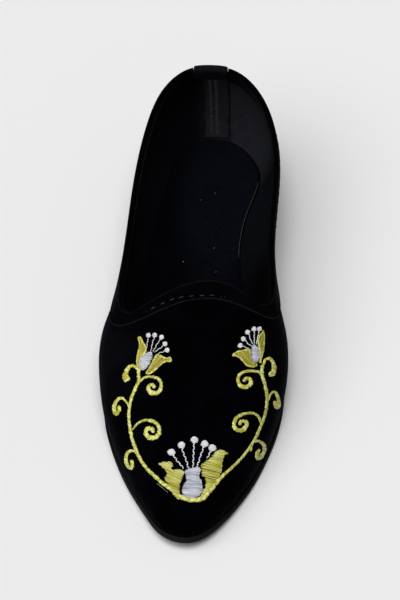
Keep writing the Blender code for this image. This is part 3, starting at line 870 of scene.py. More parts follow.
def tape(name, profile, low_x, high_x, columns, material, slot, node):
    """A tape across the back of the heel.  profile: a closed ring of (mm off the wall, mm above the topline),
    the outer skin and then the inner skin."""
    ring = np.array(profile)
    half = len(ring) // 2
    core = (ring[:half] + ring[::-1][:half]) / 2
    core = np.concatenate([core, core[::-1]])
    share = np.linspace(-1, 1, columns)
    x = (low_x + high_x) / 2 + (high_x - low_x) / 2 * share
    past = np.clip((np.abs(share) - (1 - TAPE_EDGE)) / TAPE_EDGE, 0, 1)
    thickness = 1 - EDGE_THIN + EDGE_THIN * np.sqrt(1 - past**2)
    grid = []
    for at, thin in zip(x, thickness):
        offset, rise = (core + (ring - core) * thin).T
        grid.append(back_point(np.full(len(ring), at), TOP[2] + rise * MM, offset * MM))
    v = extended(lengths_along(grid[columns // 2]))
    mesher = Mesher()
    mesher.add(np.array(grid), tube=True, caps=True, u=(x - x[0]) / MM, v=v)
    piece = mesher.build(name, material, slot, sharp=60)
    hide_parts(node)


def folded_profile():
    """The tab: up the outside, over the notch's saddle and down the inside, as outer skin then inner skin."""
    thick = TAB_THICKNESS / MM
    outer_face = GAP / MM + thick
    inner_face = -WALL / MM - outer_face
    radius = (outer_face - inner_face) / 2
    centre = (outer_face + inner_face) / 2
    top = TAB_RISE / MM - radius
    turns = np.radians(np.linspace(0, 180, 13)[1:-1])
    skins = []
    for inward in (0.0, thick):
        arc = radius - inward
        skins.append(
            [(outer_face - inward, rise) for rise in np.linspace(-TAB_OUTER / MM, top, 18)]
            + [(centre + arc * math.cos(angle), top + arc * math.sin(angle)) for angle in turns]
            + [(inner_face + inward, rise) for rise in np.linspace(top, -TAB_INNER / MM, 16)]
        )
    return skins[0] + skins[1][::-1]


left, right = TOP[0] - TAB_WIDTH / 2, TOP[0] + TAB_WIDTH / 2
tape("tab_loop", folded_profile(), left, right, 25, TAB_TAPE, "heel_tab", "heel_tab")

# Two rows of zigzag hold the strip: the sides of each in mm from its middle.
STRIP_ROWS = [(-3.8, -2.1), (-1.1, 0.9)]
STRIP_ZIG = 0.0017
STRIP_BACK = 0.0001  # from the strip's back to the lining
# The strip's section, from its middle to its edge: share of the half width, mm thick beyond GAP.
STRIP_SECTION = [
    (0.0, 0.60), (0.4, 0.60), (0.7, 0.58), (0.86, 0.52), (0.94, 0.56), (0.985, 0.46), (1.0, 0.34),
]
ZIG_LIFT = 0.00060
ZIG_WIDE = 0.14
ZIG_HIGH = 0.08
ZIG_OVERRUN = 0.0006


def strip_piece():
    start = TOP[2] - TAB_INNER - 2 * GAP
    stop = seat_height(station_y(1)) + GAP + INSOLE_THICKNESS + 2 * GAP
    middle = TOP[0] + STRIP_SHIFT
    z = np.linspace(start, stop, 40)
    section = [(-at, high) for at, high in STRIP_SECTION[:0:-1]] + STRIP_SECTION
    at, high = np.array(section).T
    x = middle + STRIP_WIDTH / 2 * at
    front = np.array([back_point(x, level, -(WALL + GAP + high * MM)) for level in z])
    back = np.array([back_point(x, level, -(WALL + STRIP_BACK)) for level in z])
    grid = np.concatenate([front, back[:, ::-1]], 1)
    mesher = Mesher()
    v = extended(lengths_along(grid[len(grid) // 2]))
    mesher.add(grid, tube=True, caps=True, u=(start - z) / MM, v=v)
    piece = mesher.build("heel_strip_cloth", STRIP_CLOTH, "heel_strip", sharp=60)
    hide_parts("heel_strip")
    seam = Mesher()
    levels = np.arange(start - ZIG_OVERRUN, stop + ZIG_OVERRUN, -STRIP_ZIG / 2)
    for row in STRIP_ROWS:
        across = [middle + row[k % 2] * MM for k in range(len(levels))]
        points = back_point(across, levels, -(WALL + GAP + ZIG_LIFT))
        for begin, end in zip(points, points[1:]):
            normal = unit(np.array([(begin[0] + end[0]) * -0.2, -1.0, 0.1]))
            stitch(seam, begin, end, normal, ZIG_WIDE, ZIG_HIGH)
    seam.build("heel_strip_stitches", SEAM_GREY, "heel_strip")


strip_piece()


# ---- Insole

# The sock's rim, from its foot: mm in from the sock's outline, mm above the seat, v.
SOCK_RIM = [(0.00, 0.0, 0.0), (0.00, 1.0, 1.0), (0.12, 1.55, 1.6), (0.40, 1.95, 2.1), (0.90, 2.15, 2.6)]
SOCK_TOP = SOCK_RIM[-1][1]
SOCK_COLUMNS = 25
SOCK_V = 70
CROWN = 0.05
CROWN_WIDTH = 0.06  # the width at which the crown is full
# Hollows of the foot: x, station, half sizes in metres, depth in mm.
HOLLOWS = [(0.000, 0.88, 0.014, 0.022, 0.45), (0.004, 0.33, 0.024, 0.026, 0.40)]
MERGE_REACH = 0.00002
TRIM_SPAN = (110, 138)  # degrees around, where the pale cord along the sock's edge, a painted highlight, runs
TRIM_OUT = 0.15
TRIM_RISE = 2.02
TRIM_RADIUS = 0.17
# x and y on the insole and size, mm.
LINT_SPOTS = [
    (-10.8, 31.4, 0.55), (2.1, 74.3, 0.22), (-5.0, 69.4, 0.2), (3.9, 39.5, 0.32), (5.5, 26.0, 0.35),
    (5.6, 53.6, 0.12),
]
LINT_SHIFT = 0.0033
LINT_RISE = 2.25
LINT_RADIUS = 0.16


def close_ring(mesher, ring, columns, top, height_at, v):
    """Closes a level ring with rows of points between its facing pairs, facing up for a top."""
    share = np.linspace(0, 1, columns)[:, None]
    pairs = [(ring[i], ring[-i % len(ring)]) for i in range(len(ring) // 2 + 1)]
    cap = np.array([right + (left - right) * share for right, left in pairs])
    cap[:, 1:-1, 2] = height_at(cap[..., 0], cap[..., 1])[:, 1:-1]
    if not top:
        cap = cap[:, ::-1]
    mesher.add(cap, u=(cap[:, columns // 2, 1] - station_y(0)) / MM, v=v)


def merge(piece):
    """Joins points that lie on each other."""
    bm = bmesh.new()
    bm.from_mesh(piece.data)
    bmesh.ops.remove_doubles(bm, verts=bm.verts, dist=MERGE_REACH)
    bmesh.ops.dissolve_degenerate(bm, edges=bm.edges, dist=MERGE_REACH / 2)
    bmesh.ops.recalc_face_normals(bm, faces=bm.faces)
    bm.to_mesh(piece.data)
    bm.free()


def wall_clearance(around, height_of):
    """How far in from the feather line the insole stays to clear the lining."""
    foot, outward = feather_plan(around)
    reach = np.zeros(len(around))
    share = np.linspace(0, 1, 161)
    ribs = rib_point(around[:, None], share[None, :])
    for raise_by in (GAP, GAP + INSOLE_THICKNESS / 2, GAP + INSOLE_THICKNESS):
        target = height_of(foot[:, 1]) + raise_by
        up = np.array([np.interp(t, row, share) for t, row in zip(target, ribs[..., 2])])
        point, normal, _ = rib_frame(around, up)
        inner = point - normal * (WALL + GAP)
        reach = np.maximum(reach, ((foot - inner[:, :2]) * outward).sum(-1))
    return reach + GAP


def sock_top(x, y):
    """The height of the sock's top: a low crown, with hollows under the heel and the ball."""
    share = np.linspace(-1, 1, SOCK_COLUMNS)
    wide = np.abs(x[:, -1] - x[:, 0])[:, None] / CROWN_WIDTH
    bed = CROWN * (1 - share**4) * np.clip(wide, 0, 1)
    for at, station, half_x, half_y, depth in HOLLOWS:
        away = ((x - at) / half_x) ** 2 + ((y - station_y(station)) / half_y) ** 2
        bed = bed - depth * np.exp(-away) * (1 - share**6)
    return seat_height(y) + GAP + (SOCK_TOP + bed) * MM


def sock_piece():
    """The insole: a thin padded sock with a rounded rim, a crown and a shallow bed."""
    around = np.linspace(0, 360, 360, endpoint=False)
    inset = wall_clearance(around, seat_height)
    rings = []
    for inward, rise, _ in SOCK_RIM:
        plan = feather_plan(around, -(inset + inward * MM))[0]
        rings.append(np.column_stack([plan, seat_height(plan[:, 1]) + GAP + rise * MM]))
    mesher = Mesher()
    mesher.add(np.stack(rings, 1), ring=True, u=around_lengths(rings[0]), v=np.array(SOCK_RIM)[:, 2])
    v = np.linspace(0, SOCK_V, SOCK_COLUMNS + 1)
    close_ring(mesher, rings[-1], SOCK_COLUMNS, True, sock_top, v)
    close_ring(mesher, rings[0], SOCK_COLUMNS, False, lambda x, y: seat_height(y) + GAP, v)
    piece = mesher.build("insole_sock", SOCK_CLOTH, "insole", sharp=70)
    merge(piece)
    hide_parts("insole")
    return closed_spline(around, inset)


def tube_along(mesher, line, radius):
    """A thin round thread along a line of points, tapered at its ends."""
    along = np.gradient(line, axis=0)
    side = unit(np.cross(along, np.array([0.0, 0.0, 1.0])))
    over = unit(np.cross(side, along))
    turns = np.radians(np.arange(0, 360, 45))[None, :, None]
    count = np.arange(len(line))
    grow = np.minimum(1, np.minimum(count, count[::-1]) / 5 + 0.25)
    ring = side[:, None, :] * np.cos(turns) + over[:, None, :] * np.sin(turns)
    grid = line[:, None, :] + ring * (radius * grow)[:, None, None]
    mesher.add(grid, tube=True, caps=True, u=lengths_along(line), v=np.arange(9) * 0.3)


def insole_trims(inset):
    """A pale cord along the sock's edge, where it stands clear of the lining at the medial waist, as a
    painted highlight there, and some lint.
    """
    around = np.linspace(*TRIM_SPAN, 100)
    plan = feather_plan(around, -(inset(around) + TRIM_OUT * MM))[0]
    line = np.column_stack([plan, seat_height(plan[:, 1]) + GAP + TRIM_RISE * MM])
    mesher = Mesher()
    tube_along(mesher, line, TRIM_RADIUS * MM)
    mesher.build("insole_edge_highlight", SOCK_EDGE_HIGHLIGHT, "insole")
    lint = Mesher()
    for x, y, size in LINT_SPOTS:
        y = y * MM + LINT_SHIFT
        start = np.array([x * MM, y, seat_height(y) + GAP + LINT_RISE * MM])
        wander = rng.uniform(-1, 1, (4, 3)) * np.array([1.0, 1.0, 0.1]) * size * MM
        tube_along(lint, smooth_line(start + wander, 0.15 * MM), LINT_RADIUS * MM)
    lint.build("insole_lint", LINT, "insole")


insole_trims(sock_piece())


# ---- Sole and heel

# The sole's edge: mm out from the feather line, how far down as a share of the thickness, v.
SOLE_SIDE = [
    (0.15, 0.0, 0.4), (0.50, 0.02, 0.8), (0.78, 0.07, 1.2), (0.90, 0.16, 1.8), (0.90, 0.30, 2.1),
    (0.84, 0.36, 2.3), (0.84, 0.40, 2.6), (0.90, 0.46, 3.7), (0.90, 0.70, 4.1), (0.82, 0.80, 4.5),
    (0.62, 0.89, 4.8), (0.36, 0.95, 5.1), (0.05, 0.99, 5.4), (-0.25, 1.0, 5.8),
]
SOLE_COLUMNS = 21
HIDDEN_V = -10.0
GROOVE_PITCH = 3.6
GROOVE_DEPTH = 0.45
GROOVE_BOW = 3.0
GROOVE_MARGIN = 0.22  # the share of the half width over which they fade towards the edge
GROOVE_START = (0.05, 0.05)  # the station, and the share of the length over which they deepen
GROOVE_END = (0.50, 0.08)
# The heel's side: mm in, share of its height, v.
HEEL_SIDE = [
    (0.25, 0.0, 8.6), (0.04, 0.02, 8.1), (0.0, 0.06, 7.8), (0.0, 0.30, 5.6),
    (0.16, 0.325, 5.3), (0.16, 0.345, 5.1), (0.0, 0.37, 4.9), (0.0, 1.0, 0.2),
]


def grooved_tread(x, y):
    """The height of the sole's underside, with bowed grooves across the forefoot."""
    share = np.linspace(-1, 1, SOLE_COLUMNS)[None, :]
    inside = smooth((1 - np.abs(share)) / GROOVE_MARGIN)
    station = (y - station_y(0)) / LENGTH
    started, ended = (smooth((station - at) / over) for at, over in (GROOVE_START, GROOVE_END))
    zone = started * (1 - ended)
    wave = 0.5 + 0.5 * np.cos(2 * np.pi * (y / MM + GROOVE_BOW * np.cos(np.pi * share)) / GROOVE_PITCH)
    return tread_height(y) + GROOVE_DEPTH * MM * inside * zone * smooth((wave - 0.45) / 0.4)


def outsole_piece():
    around = np.linspace(0, 360, 720, endpoint=False)
    foot = feather_plan(around)[0]
    rings = []
    for out, down, _ in SOLE_SIDE:
        plan = feather_plan(around, out * MM)[0]
        z = seat_height(foot[:, 1]) - SOLE_THICKNESS * down
        z = np.maximum(z, tread_height(plan[:, 1]) if down > 0.9 else 0)
        rings.append(np.column_stack([plan, z]))
    mesher = Mesher()
    v = np.array(SOLE_SIDE)[::-1, 2]
    mesher.add(np.stack(rings, 1)[:, ::-1], ring=True, u=around_lengths(rings[0]), v=v)
    v = np.linspace(0, 0.001, SOLE_COLUMNS + 1)
    close_ring(mesher, rings[0], SOLE_COLUMNS, True, lambda x, y: seat_height(y), v + HIDDEN_V)
    close_ring(mesher, rings[-1], SOLE_COLUMNS, False, grooved_tread, v)
    piece = mesher.build("outsole_rubber", SOLE_RUBBER, "outsole", sharp=45)
    merge(piece)
    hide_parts("outsole")


def heel_piece():
    plan = feather_plan(np.linspace(90, 270, 721), -HEEL_INSET)[0]
    back = plan[plan[:, 1] > station_y(BREAST) + HEEL_SETBACK]
    share = np.linspace(0, 1, 60)[1:-1, None]
    breast = back[-1] + (back[0] - back[-1]) * share
    breast[:, 1] += BREAST_ARC * np.sin(np.pi * share[:, 0])
    outline = np.concatenate([back, breast])
    along = np.roll(outline, -1, 0) - np.roll(outline, 1, 0)
    outward = unit(np.stack([along[:, 1], -along[:, 0]], -1))
    rings = []
    for inward, rise, _ in HEEL_SIDE:
        ring = outline - outward * inward * MM
        rings.append(np.column_stack([ring, np.full(len(ring), rise * (HEEL_HEIGHT - GAP))]))
    grid = np.stack(rings, 1)
    mesher = Mesher()
    mesher.add(grid, ring=True, u=around_lengths(outline), v=np.array(HEEL_SIDE)[:, 2])
    count, rows = grid.shape[:2]
    under = np.arange(count) * rows
    mesher.faces += [under[::-1].tolist(), (under + rows - 1).tolist()]
    mesher.uvs += [np.zeros((count, 2)), np.zeros((count, 2))]
    piece = mesher.build("heel_block", HEEL_RUBBER, "heel", sharp=40)
    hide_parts("heel")


outsole_piece()
heel_piece()


# ---- Embroidery

# The chart is in mm on a plane that faces the vamp square on: across (medial is +) and down towards the
# toe.  Threads are laid on the velvet along that plane's normal.
CHART_TILT = math.radians(50)
CHART_ORIGIN = np.array([0.0, 0.0033, 0.0])
ACROSS = np.array([1.0, 0.0, 0.0])
DOWN = np.array([0.0, -math.sin(CHART_TILT), -math.cos(CHART_TILT)])
INTO = np.array([0.0, math.cos(CHART_TILT), -math.sin(CHART_TILT)])
CHART_AWAY = 0.3  # how far off the chart's plane the rays start

BAND_T = np.array([-1.0, -0.86, -0.5, 0.0, 0.5, 0.86, 1.0])
BAND_STEPS = 5  # along one thread's width
SLANT = 0.8  # of the threads across a band
BURY = 0.2  # how deep a band's edges go into the velvet
THREAD_RING = np.array([(-1.0, 0.0), (-0.62, 0.72), (0.0, 1.0), (0.62, 0.72), (1.0, 0.0), (0.0, -0.5)])
RING_V = np.array([0.0, 0.2, 0.5, 0.8, 1.0, 0.5, 0.0])  # around a fill's thread
THREAD_HALF = (0.60, 0.74)  # half widths of a fill's threads, as shares of their pitch
SHORTEST = 0.5  # thread in a fill
STEEPEST = 0.35  # limits how far a thread spreads where the velvet falls away from the chart
TWIST = 2.3  # of a stamen's thread
STAMEN_STEP = 0.2
STAMEN_LIFT = 0.35
STAMEN_WANDER = 0.14


def velvet_tree():
    columns, rows = face_grid.shape[:2]
    i, j = (a.ravel() for a in np.meshgrid(np.arange(columns), np.arange(rows - 1), indexing="ij"))
    i2 = (i + 1) % columns
    quads = np.stack([i * rows + j, i2 * rows + j, i2 * rows + j + 1, i * rows + j + 1], 1)
    return BVHTree.FromPolygons(face_grid.reshape(-1, 3).tolist(), quads.tolist())


TREE = velvet_tree()


def on_velvet(chart):
    """Points and normals of the velvet under chart points."""
    flat = chart.reshape(-1, 2) * MM
    starts = CHART_ORIGIN + flat[:, :1] * ACROSS + flat[:, 1:] * DOWN - INTO * CHART_AWAY
    points, normals = [], []
    way = Vector(INTO)
    for start in starts:
        hit, normal, _, _ = TREE.ray_cast(Vector(start), way)
        if hit is None:
            hit, normal, _, _ = TREE.find_nearest(Vector(start + INTO * CHART_AWAY))
        points.append(hit)
        normals.append(normal if normal.dot(way) < 0 else -normal)
    shape = chart.shape[:-1] + (3,)
    return np.array(points).reshape(shape), np.array(normals).reshape(shape)


def turned(along):
    """Directions on the chart turned by a quarter."""
    return np.stack([-along[:, 1], along[:, 0]], -1)


def satin(mesher, line, half_widths, height=0.42, pitch=0.56, lift=0.0, closed=False, ridge=0.22):
    """A raised band of threads sewn across a line.  half_widths: from its start to its end, mm."""
    step = pitch / BAND_STEPS
    path = smooth_line(line, step, closed)
    if closed:
        path = path[:-1]
        along = unit(np.roll(path, -1, 0) - np.roll(path, 1, 0))
    else:
        along = unit(np.gradient(path, axis=0))
    run = np.arange(len(path)) * step
    wide = np.interp(np.linspace(0, 1, len(path)), np.linspace(0, 1, len(half_widths)), half_widths)
    phase = run[:, None] / pitch + SLANT * BAND_T[None, :]
    thread = np.sqrt(np.maximum(0.0, 1 - (2 * (phase % 1.0) - 1) ** 2))
    threads = int(run[-1] / pitch) + 6
    uneven = rng.normal(0, 0.12, threads) + 0.05 * np.sin(np.arange(threads) * 0.9)
    spread = 1 + uneven[np.floor(phase).astype(int) + 3]
    if not closed:
        wide = wide * np.minimum(1, (np.minimum(run, run[-1] - run) + 0.25) / 0.7) ** 0.5
    across = BAND_T[None, :] * wide[:, None] * spread * (0.86 + 0.14 * thread)
    points, normals = on_velvet(path[:, None, :] + turned(along)[:, None, :] * across[..., None])
    dome = (1 - BAND_T**2) ** 0.5
    padding = dome[None, :] * height * np.minimum(1, wide[:, None] / 0.8)
    high = padding + ridge * thread * (0.45 + 0.55 * dome)[None, :] + lift
    top = points + normals * (high * MM)[..., None]
    under = points[:, [-1, 0]] * 0.86 + points[:, [3, 3]] * 0.14 - normals[:, [-1, 0]] * BURY * MM
    grid = np.concatenate([top, under], 1)
    v = np.append(BAND_T, [1.2, 1.4, 1.6])[::-1]
    u = np.append(run, run[-1] + step) / pitch + math.floor(rng.random() * 40)
    mesher.add(grid[:, ::-1], ring=closed, tube=True, caps=not closed, u=u, v=v, shear=SLANT)


def fill(
    mesher, outline, tilt, pitch=0.42, height=0.5, lift=0.0, ragged=0.3, skip=(), spread=0.06, thick=0.22
):
    """Side-by-side threads that fill an outline, at a tilt in degrees, domed over the middle.

    skip: shares of the way across where a thread is left out."""
    line = smooth_line(outline, 0.25, closed=True)
    turn = math.radians(tilt)
    axis = np.array([math.cos(turn), math.sin(turn)])
    other = np.array([-axis[1], axis[0]])
    x, y = line @ axis, line @ other
    levels = np.arange(y.min() + pitch * 0.4, y.max(), pitch)
    for k, level in enumerate(levels):
        where = (level - levels[0]) / max(1e-6, levels[-1] - levels[0])
        if any(abs(where - s) < 0.5 / len(levels) for s in skip):
            continue
        crossing = (y[:-1] < level) != (y[1:] < level)
        x_from, x_to, y_from, y_to = (a[crossing] for a in (x[:-1], x[1:], y[:-1], y[1:]))
        cuts = np.sort(x_from + (level - y_from) / (y_to - y_from) * (x_to - x_from))
        for x0, x1 in zip(cuts[::2], cuts[1::2]):
            x0, x1 = x0 + rng.uniform(-0.7, 0.5) * ragged, x1 + rng.uniform(-0.5, 0.7) * ragged
            if x1 - x0 < SHORTEST:
                continue
            t = np.linspace(0, 1, max(5, int((x1 - x0) / 0.6)))
            drift = spread * (2 * t - 1) * rng.normal(0, 1)
            drift = drift + 0.05 * np.sin(t * rng.uniform(4, 9) + rng.random() * 6)
            spots = axis * (x0 + (x1 - x0) * t)[:, None] + other * (level + drift)[:, None]
            half = pitch * rng.uniform(*THREAD_HALF) * (0.70 + 0.30 * np.sin(np.pi * t) ** 0.5)
            points, normals = on_velvet(spots)
            sides = chart_shift(points, normals, other, THREAD_RING[:, 0][None, :] * half[:, None])
            dome = np.sin(np.pi * np.clip(t, 0.02, 0.98)) ** 0.55
            edge = math.sin(math.pi * min(0.97, max(0.03, where))) ** 0.35
            rise = height * dome * edge + lift + rng.normal(0, 0.03)
            rise = rise[:, None] + THREAD_RING[:, 1][None, :] * thick
            grid = sides + normals[:, None, :] * (rise * MM)[..., None]
            row = k + math.floor(rng.random() * 30) + RING_V
            u = np.append(t, 1.1) * (x1 - x0) * 0.3
            mesher.add(grid[:, ::-1], tube=True, caps=True, u=u, v=row[::-1], swap=True)


def chart_shift(points, normals, other, amounts):
    """Points moved along the velvet by mm amounts in the chart's other direction."""
    way = other[0] * ACROSS + other[1] * DOWN
    along = way - normals * (normals @ way)[:, None]
    along = along / np.maximum(STEEPEST, along @ way)[:, None]
    return points[:, None, :] + along[:, None, :] * (amounts * MM)[..., None]


def oval(x, y, half_across, half_down):
    turns = np.linspace(0, 2 * math.pi, 12, endpoint=False)
    return [(x + half_across * math.cos(a), y + half_down * math.sin(a)) for a in turns]


def inset_outline(outline, by):
    """The outline pulled in towards its own middle line by mm."""
    line = np.array(outline, float)
    ahead, behind = np.roll(line, -1, 0), np.roll(line, 1, 0)
    area = np.sum(line[:, 0] * ahead[:, 1] - ahead[:, 0] * line[:, 1])
    return line + turned(unit(ahead - behind)) * (by if area > 0 else -by)


def stamen(foot, head, swing, thick):
    """A loosely twisted thread, which swings mm to each side, is thinner where its strands cross, and
    wanders a little."""
    t = np.linspace(0, 1, 5)[:, None]
    line = np.array(foot) * (1 - t) + np.array(head) * t
    line[1:-1] += rng.normal(0, STAMEN_WANDER, (3, 2))
    path = smooth_line(line, STAMEN_STEP)
    sideways = turned(unit(np.gradient(path, axis=0)))
    turn = np.arange(len(path)) * STAMEN_STEP / TWIST * 2 * math.pi + rng.random() * 6
    points, normals = on_velvet(path + sideways * (swing * np.sin(turn))[:, None])
    tube_along(white, points + normals * STAMEN_LIFT * MM, thick * (0.70 + 0.30 * np.cos(2 * turn)) * MM)


yellow, olive, silver, white, stray = Mesher(), Mesher(), Mesher(), Mesher(), Mesher()

LEFT_STEM = [
    (-22.5, 15.6), (-23.5, 18.9), (-23.2, 22.9), (-24.6, 26.6), (-26.0, 30.2), (-26.7, 34.6), (-26.8, 38.9),
    (-26.1, 43.1), (-24.8, 48.1), (-22.6, 52.9), (-20.4, 56.9), (-17.0, 60.9), (-13.0, 64.0), (-9.1, 66.9),
    (-5.3, 69.1), (-1.5, 71.7), (2.2, 73.3), (5.1, 73.6),
]
RIGHT_STEM = [
    (32.5, 14.0), (32.7, 18.3), (33.9, 22.0), (35.0, 26.3), (35.3, 30.7), (34.8, 35.7), (33.3, 40.7),
    (31.4, 45.7), (28.8, 50.6), (25.2, 55.5), (21.2, 59.6), (17.9, 62.7), (15.3, 65.8), (12.0, 70.0),
    (10.0, 72.5), (6.5, 73.6), (3.6, 73.5),
]
# Each scroll's line and its relative half widths, which SCROLL_WIDTHS scales.
SCROLLS = [
    ([(-23.3, 20.0), (-24.4, 17.3), (-26.8, 16.2), (-29.1, 18.2), (-29.6, 21.2),
      (-28.4, 23.3)], (0.6, 1.0, 1.2, 1.7, 2.0)),
    ([(-23.0, 23.6), (-20.5, 21.2), (-16.9, 20.7), (-13.8, 21.6), (-12.5, 24.2), (-13.1, 26.9),
      (-15.3, 28.0), (-17.7, 27.2), (-18.3, 25.2), (-16.4, 24.2),
      (-15.5, 25.7)], (0.6, 0.9, 1.2, 1.3, 1.0)),
    ([(-26.8, 35.3), (-28.2, 32.9), (-30.6, 31.1), (-32.8, 31.9), (-34.1, 34.5), (-34.2, 37.0),
      (-33.0, 38.2), (-31.7, 36.5), (-32.0, 34.6)], (0.5, 0.8, 1.1, 1.3, 1.0)),
    ([(-24.6, 44.8), (-22.6, 42.0), (-19.3, 40.2), (-15.5, 40.3), (-12.7, 42.0), (-11.9, 45.1),
      (-13.6, 47.3), (-16.3, 47.6), (-18.2, 45.9), (-17.7, 43.9), (-15.3, 43.8),
      (-14.8, 45.5)], (0.6, 0.9, 1.3, 1.4, 1.1)),
    ([(-19.9, 58.3), (-22.2, 54.9), (-24.4, 54.1), (-26.5, 55.3), (-27.2, 57.9), (-26.5, 60.6),
      (-24.6, 61.9), (-23.8, 60.1), (-24.6, 58.2)], (0.5, 0.8, 1.1, 1.3, 0.9)),
    ([(32.6, 16.2), (33.7, 11.8), (35.4, 10.9), (36.9, 12.1), (37.8, 14.7), (37.4, 18.0),
      (36.2, 16.8)], (0.6, 0.9, 1.0, 1.3, 1.5)),
    ([(33.0, 19.1), (31.1, 17.1), (28.0, 16.6), (25.1, 17.0), (22.6, 18.6), (22.2, 21.2), (23.8, 23.5),
      (26.4, 23.7), (27.9, 21.9), (27.2, 20.2), (25.2, 20.2), (25.0, 21.5)], (0.6, 0.9, 1.1, 1.2, 0.9)),
    ([(36.0, 30.0), (36.8, 27.2), (38.6, 26.0), (39.8, 28.1), (40.5, 31.4), (40.0, 33.5), (39.1, 32.3),
      (38.8, 30.2)], (0.5, 0.7, 0.9, 1.0, 0.8)),
    ([(33.2, 40.0), (31.6, 36.7), (28.7, 35.4), (25.1, 36.0), (22.4, 37.6), (21.4, 40.5), (22.6, 42.7),
      (25.1, 43.0), (26.9, 41.1), (26.4, 39.2), (24.3, 39.2), (24.0, 40.8)], (0.6, 0.9, 1.2, 1.2, 0.9)),
    ([(29.2, 52.5), (29.9, 48.8), (32.1, 48.0), (34.5, 49.8), (34.8, 52.9), (33.6, 55.3), (32.3, 56.1),
      (31.9, 53.9), (32.9, 51.8)], (0.5, 0.8, 1.0, 1.1, 0.8)),
]
SCROLL_WIDTHS = (0.70, 0.70, 0.72, 0.77, 0.84)

satin(yellow, LEFT_STEM, (0.85, 0.75, 0.7, 0.8, 0.8, 0.8, 0.95, 1.05))
satin(yellow, RIGHT_STEM, (0.85, 0.7, 0.62, 0.62, 0.62, 0.68, 0.95, 1.05), lift=0.1)
for line, widths in SCROLLS:
    satin(yellow, line, [share * full for share, full in zip(widths, SCROLL_WIDTHS)])

# Small flowers: petals with an olive middle and a bright rim, a silver body, five stamens.
Flower = namedtuple("Flower", "heads feet body petals")
SMALL = [
    Flower(
        heads=[(-19.9, 2.2), (-17.0, 2.0), (-13.7, 2.8), (-12.0, 5.8), (-10.8, 8.5)],
        feet=[(-20.3, 8.3), (-18.4, 9.5), (-17.5, 9.6), (-16.6, 9.9), (-14.8, 10.3)],
        body=[
            (-18.4, 9.7), (-17.4, 10.7), (-17.5, 12.4), (-18.3, 14.5), (-19.4, 16.6), (-21.2, 18.0),
            (-22.9, 17.0), (-23.4, 14.9), (-22.9, 12.6), (-21.2, 10.7),
        ],
        petals=[
            ([(-23.5, 18.4), (-24.4, 16.6), (-24.9, 14.0), (-24.7, 10.8), (-24.1, 8.0), (-24.2, 5.6),
              (-24.9, 3.8), (-24.1, 2.8), (-23.0, 3.8), (-22.1, 5.4), (-21.1, 6.9), (-20.6, 8.8),
              (-21.6, 11.1), (-22.7, 13.4), (-22.6, 15.8)], 80),
            ([(-20.1, 19.2), (-18.7, 16.7), (-17.5, 14.2), (-16.4, 11.9), (-15.4, 10.5), (-13.7, 10.9),
              (-11.8, 11.7), (-10.4, 11.8), (-9.1, 11.4), (-8.6, 13.3), (-10.7, 13.6), (-12.7, 14.6),
              (-14.5, 16.4), (-16.2, 18.1), (-18.1, 19.5)], -50),
        ],
    ),
    Flower(
        heads=[(22.2, 5.4), (23.5, 2.4), (25.2, -0.7), (28.0, -2.2), (30.4, -2.3)],
        feet=[(26.2, 6.6), (27.5, 5.7), (28.2, 5.0), (28.7, 4.6), (29.3, 4.9)],
        body=[
            (28.2, 5.1), (29.6, 5.6), (30.7, 7.6), (31.1, 9.8), (30.5, 12.1), (29.2, 13.1), (28.0, 12.2),
            (27.4, 10.5), (27.2, 8.1), (27.2, 6.2),
        ],
        petals=[
            ([(32.5, -1.5), (33.0, 0.4), (33.1, 3.0), (33.0, 5.6), (32.7, 8.6), (32.2, 11.0), (31.7, 13.2),
              (31.3, 10.8), (31.2, 8.3), (30.7, 6.1), (30.2, 3.9), (30.1, 2.0), (31.1, 0.0),
              (32.0, -1.2)], -80),
            ([(19.0, 9.8), (20.0, 8.6), (21.4, 7.7), (23.2, 7.5), (25.0, 7.0), (26.4, 6.7), (27.0, 7.9),
              (27.1, 9.6), (27.7, 11.4), (28.7, 12.9), (30.3, 13.7), (29.4, 14.7), (27.1, 14.8),
              (25.3, 13.9), (24.1, 12.6), (22.8, 11.3), (21.4, 10.4), (20.0, 10.1)], 50),
        ],
    ),
]
RIM = (0.42, 0.55, 0.45, 0.60, 0.42)
for flower in SMALL:
    for outline, tilt in flower.petals:
        fill(olive, inset_outline(outline, 0.3), tilt, height=0.3)
        rim = inset_outline(outline, 0.35)
        satin(yellow, rim, RIM, height=0.25, pitch=0.42, lift=0.06, closed=True, ridge=0.12)
    fill(silver, flower.body, 12, height=0.7, lift=0.25)
    for head, foot in zip(flower.heads, flower.feet):
        stamen(foot, head, 0.13, 0.25)
        tilt = rng.uniform(-30, 30)
        fill(white, oval(*head, 1.1, 1.05), tilt, pitch=0.34, height=0.55, lift=0.1, ragged=0.2, spread=0.02)

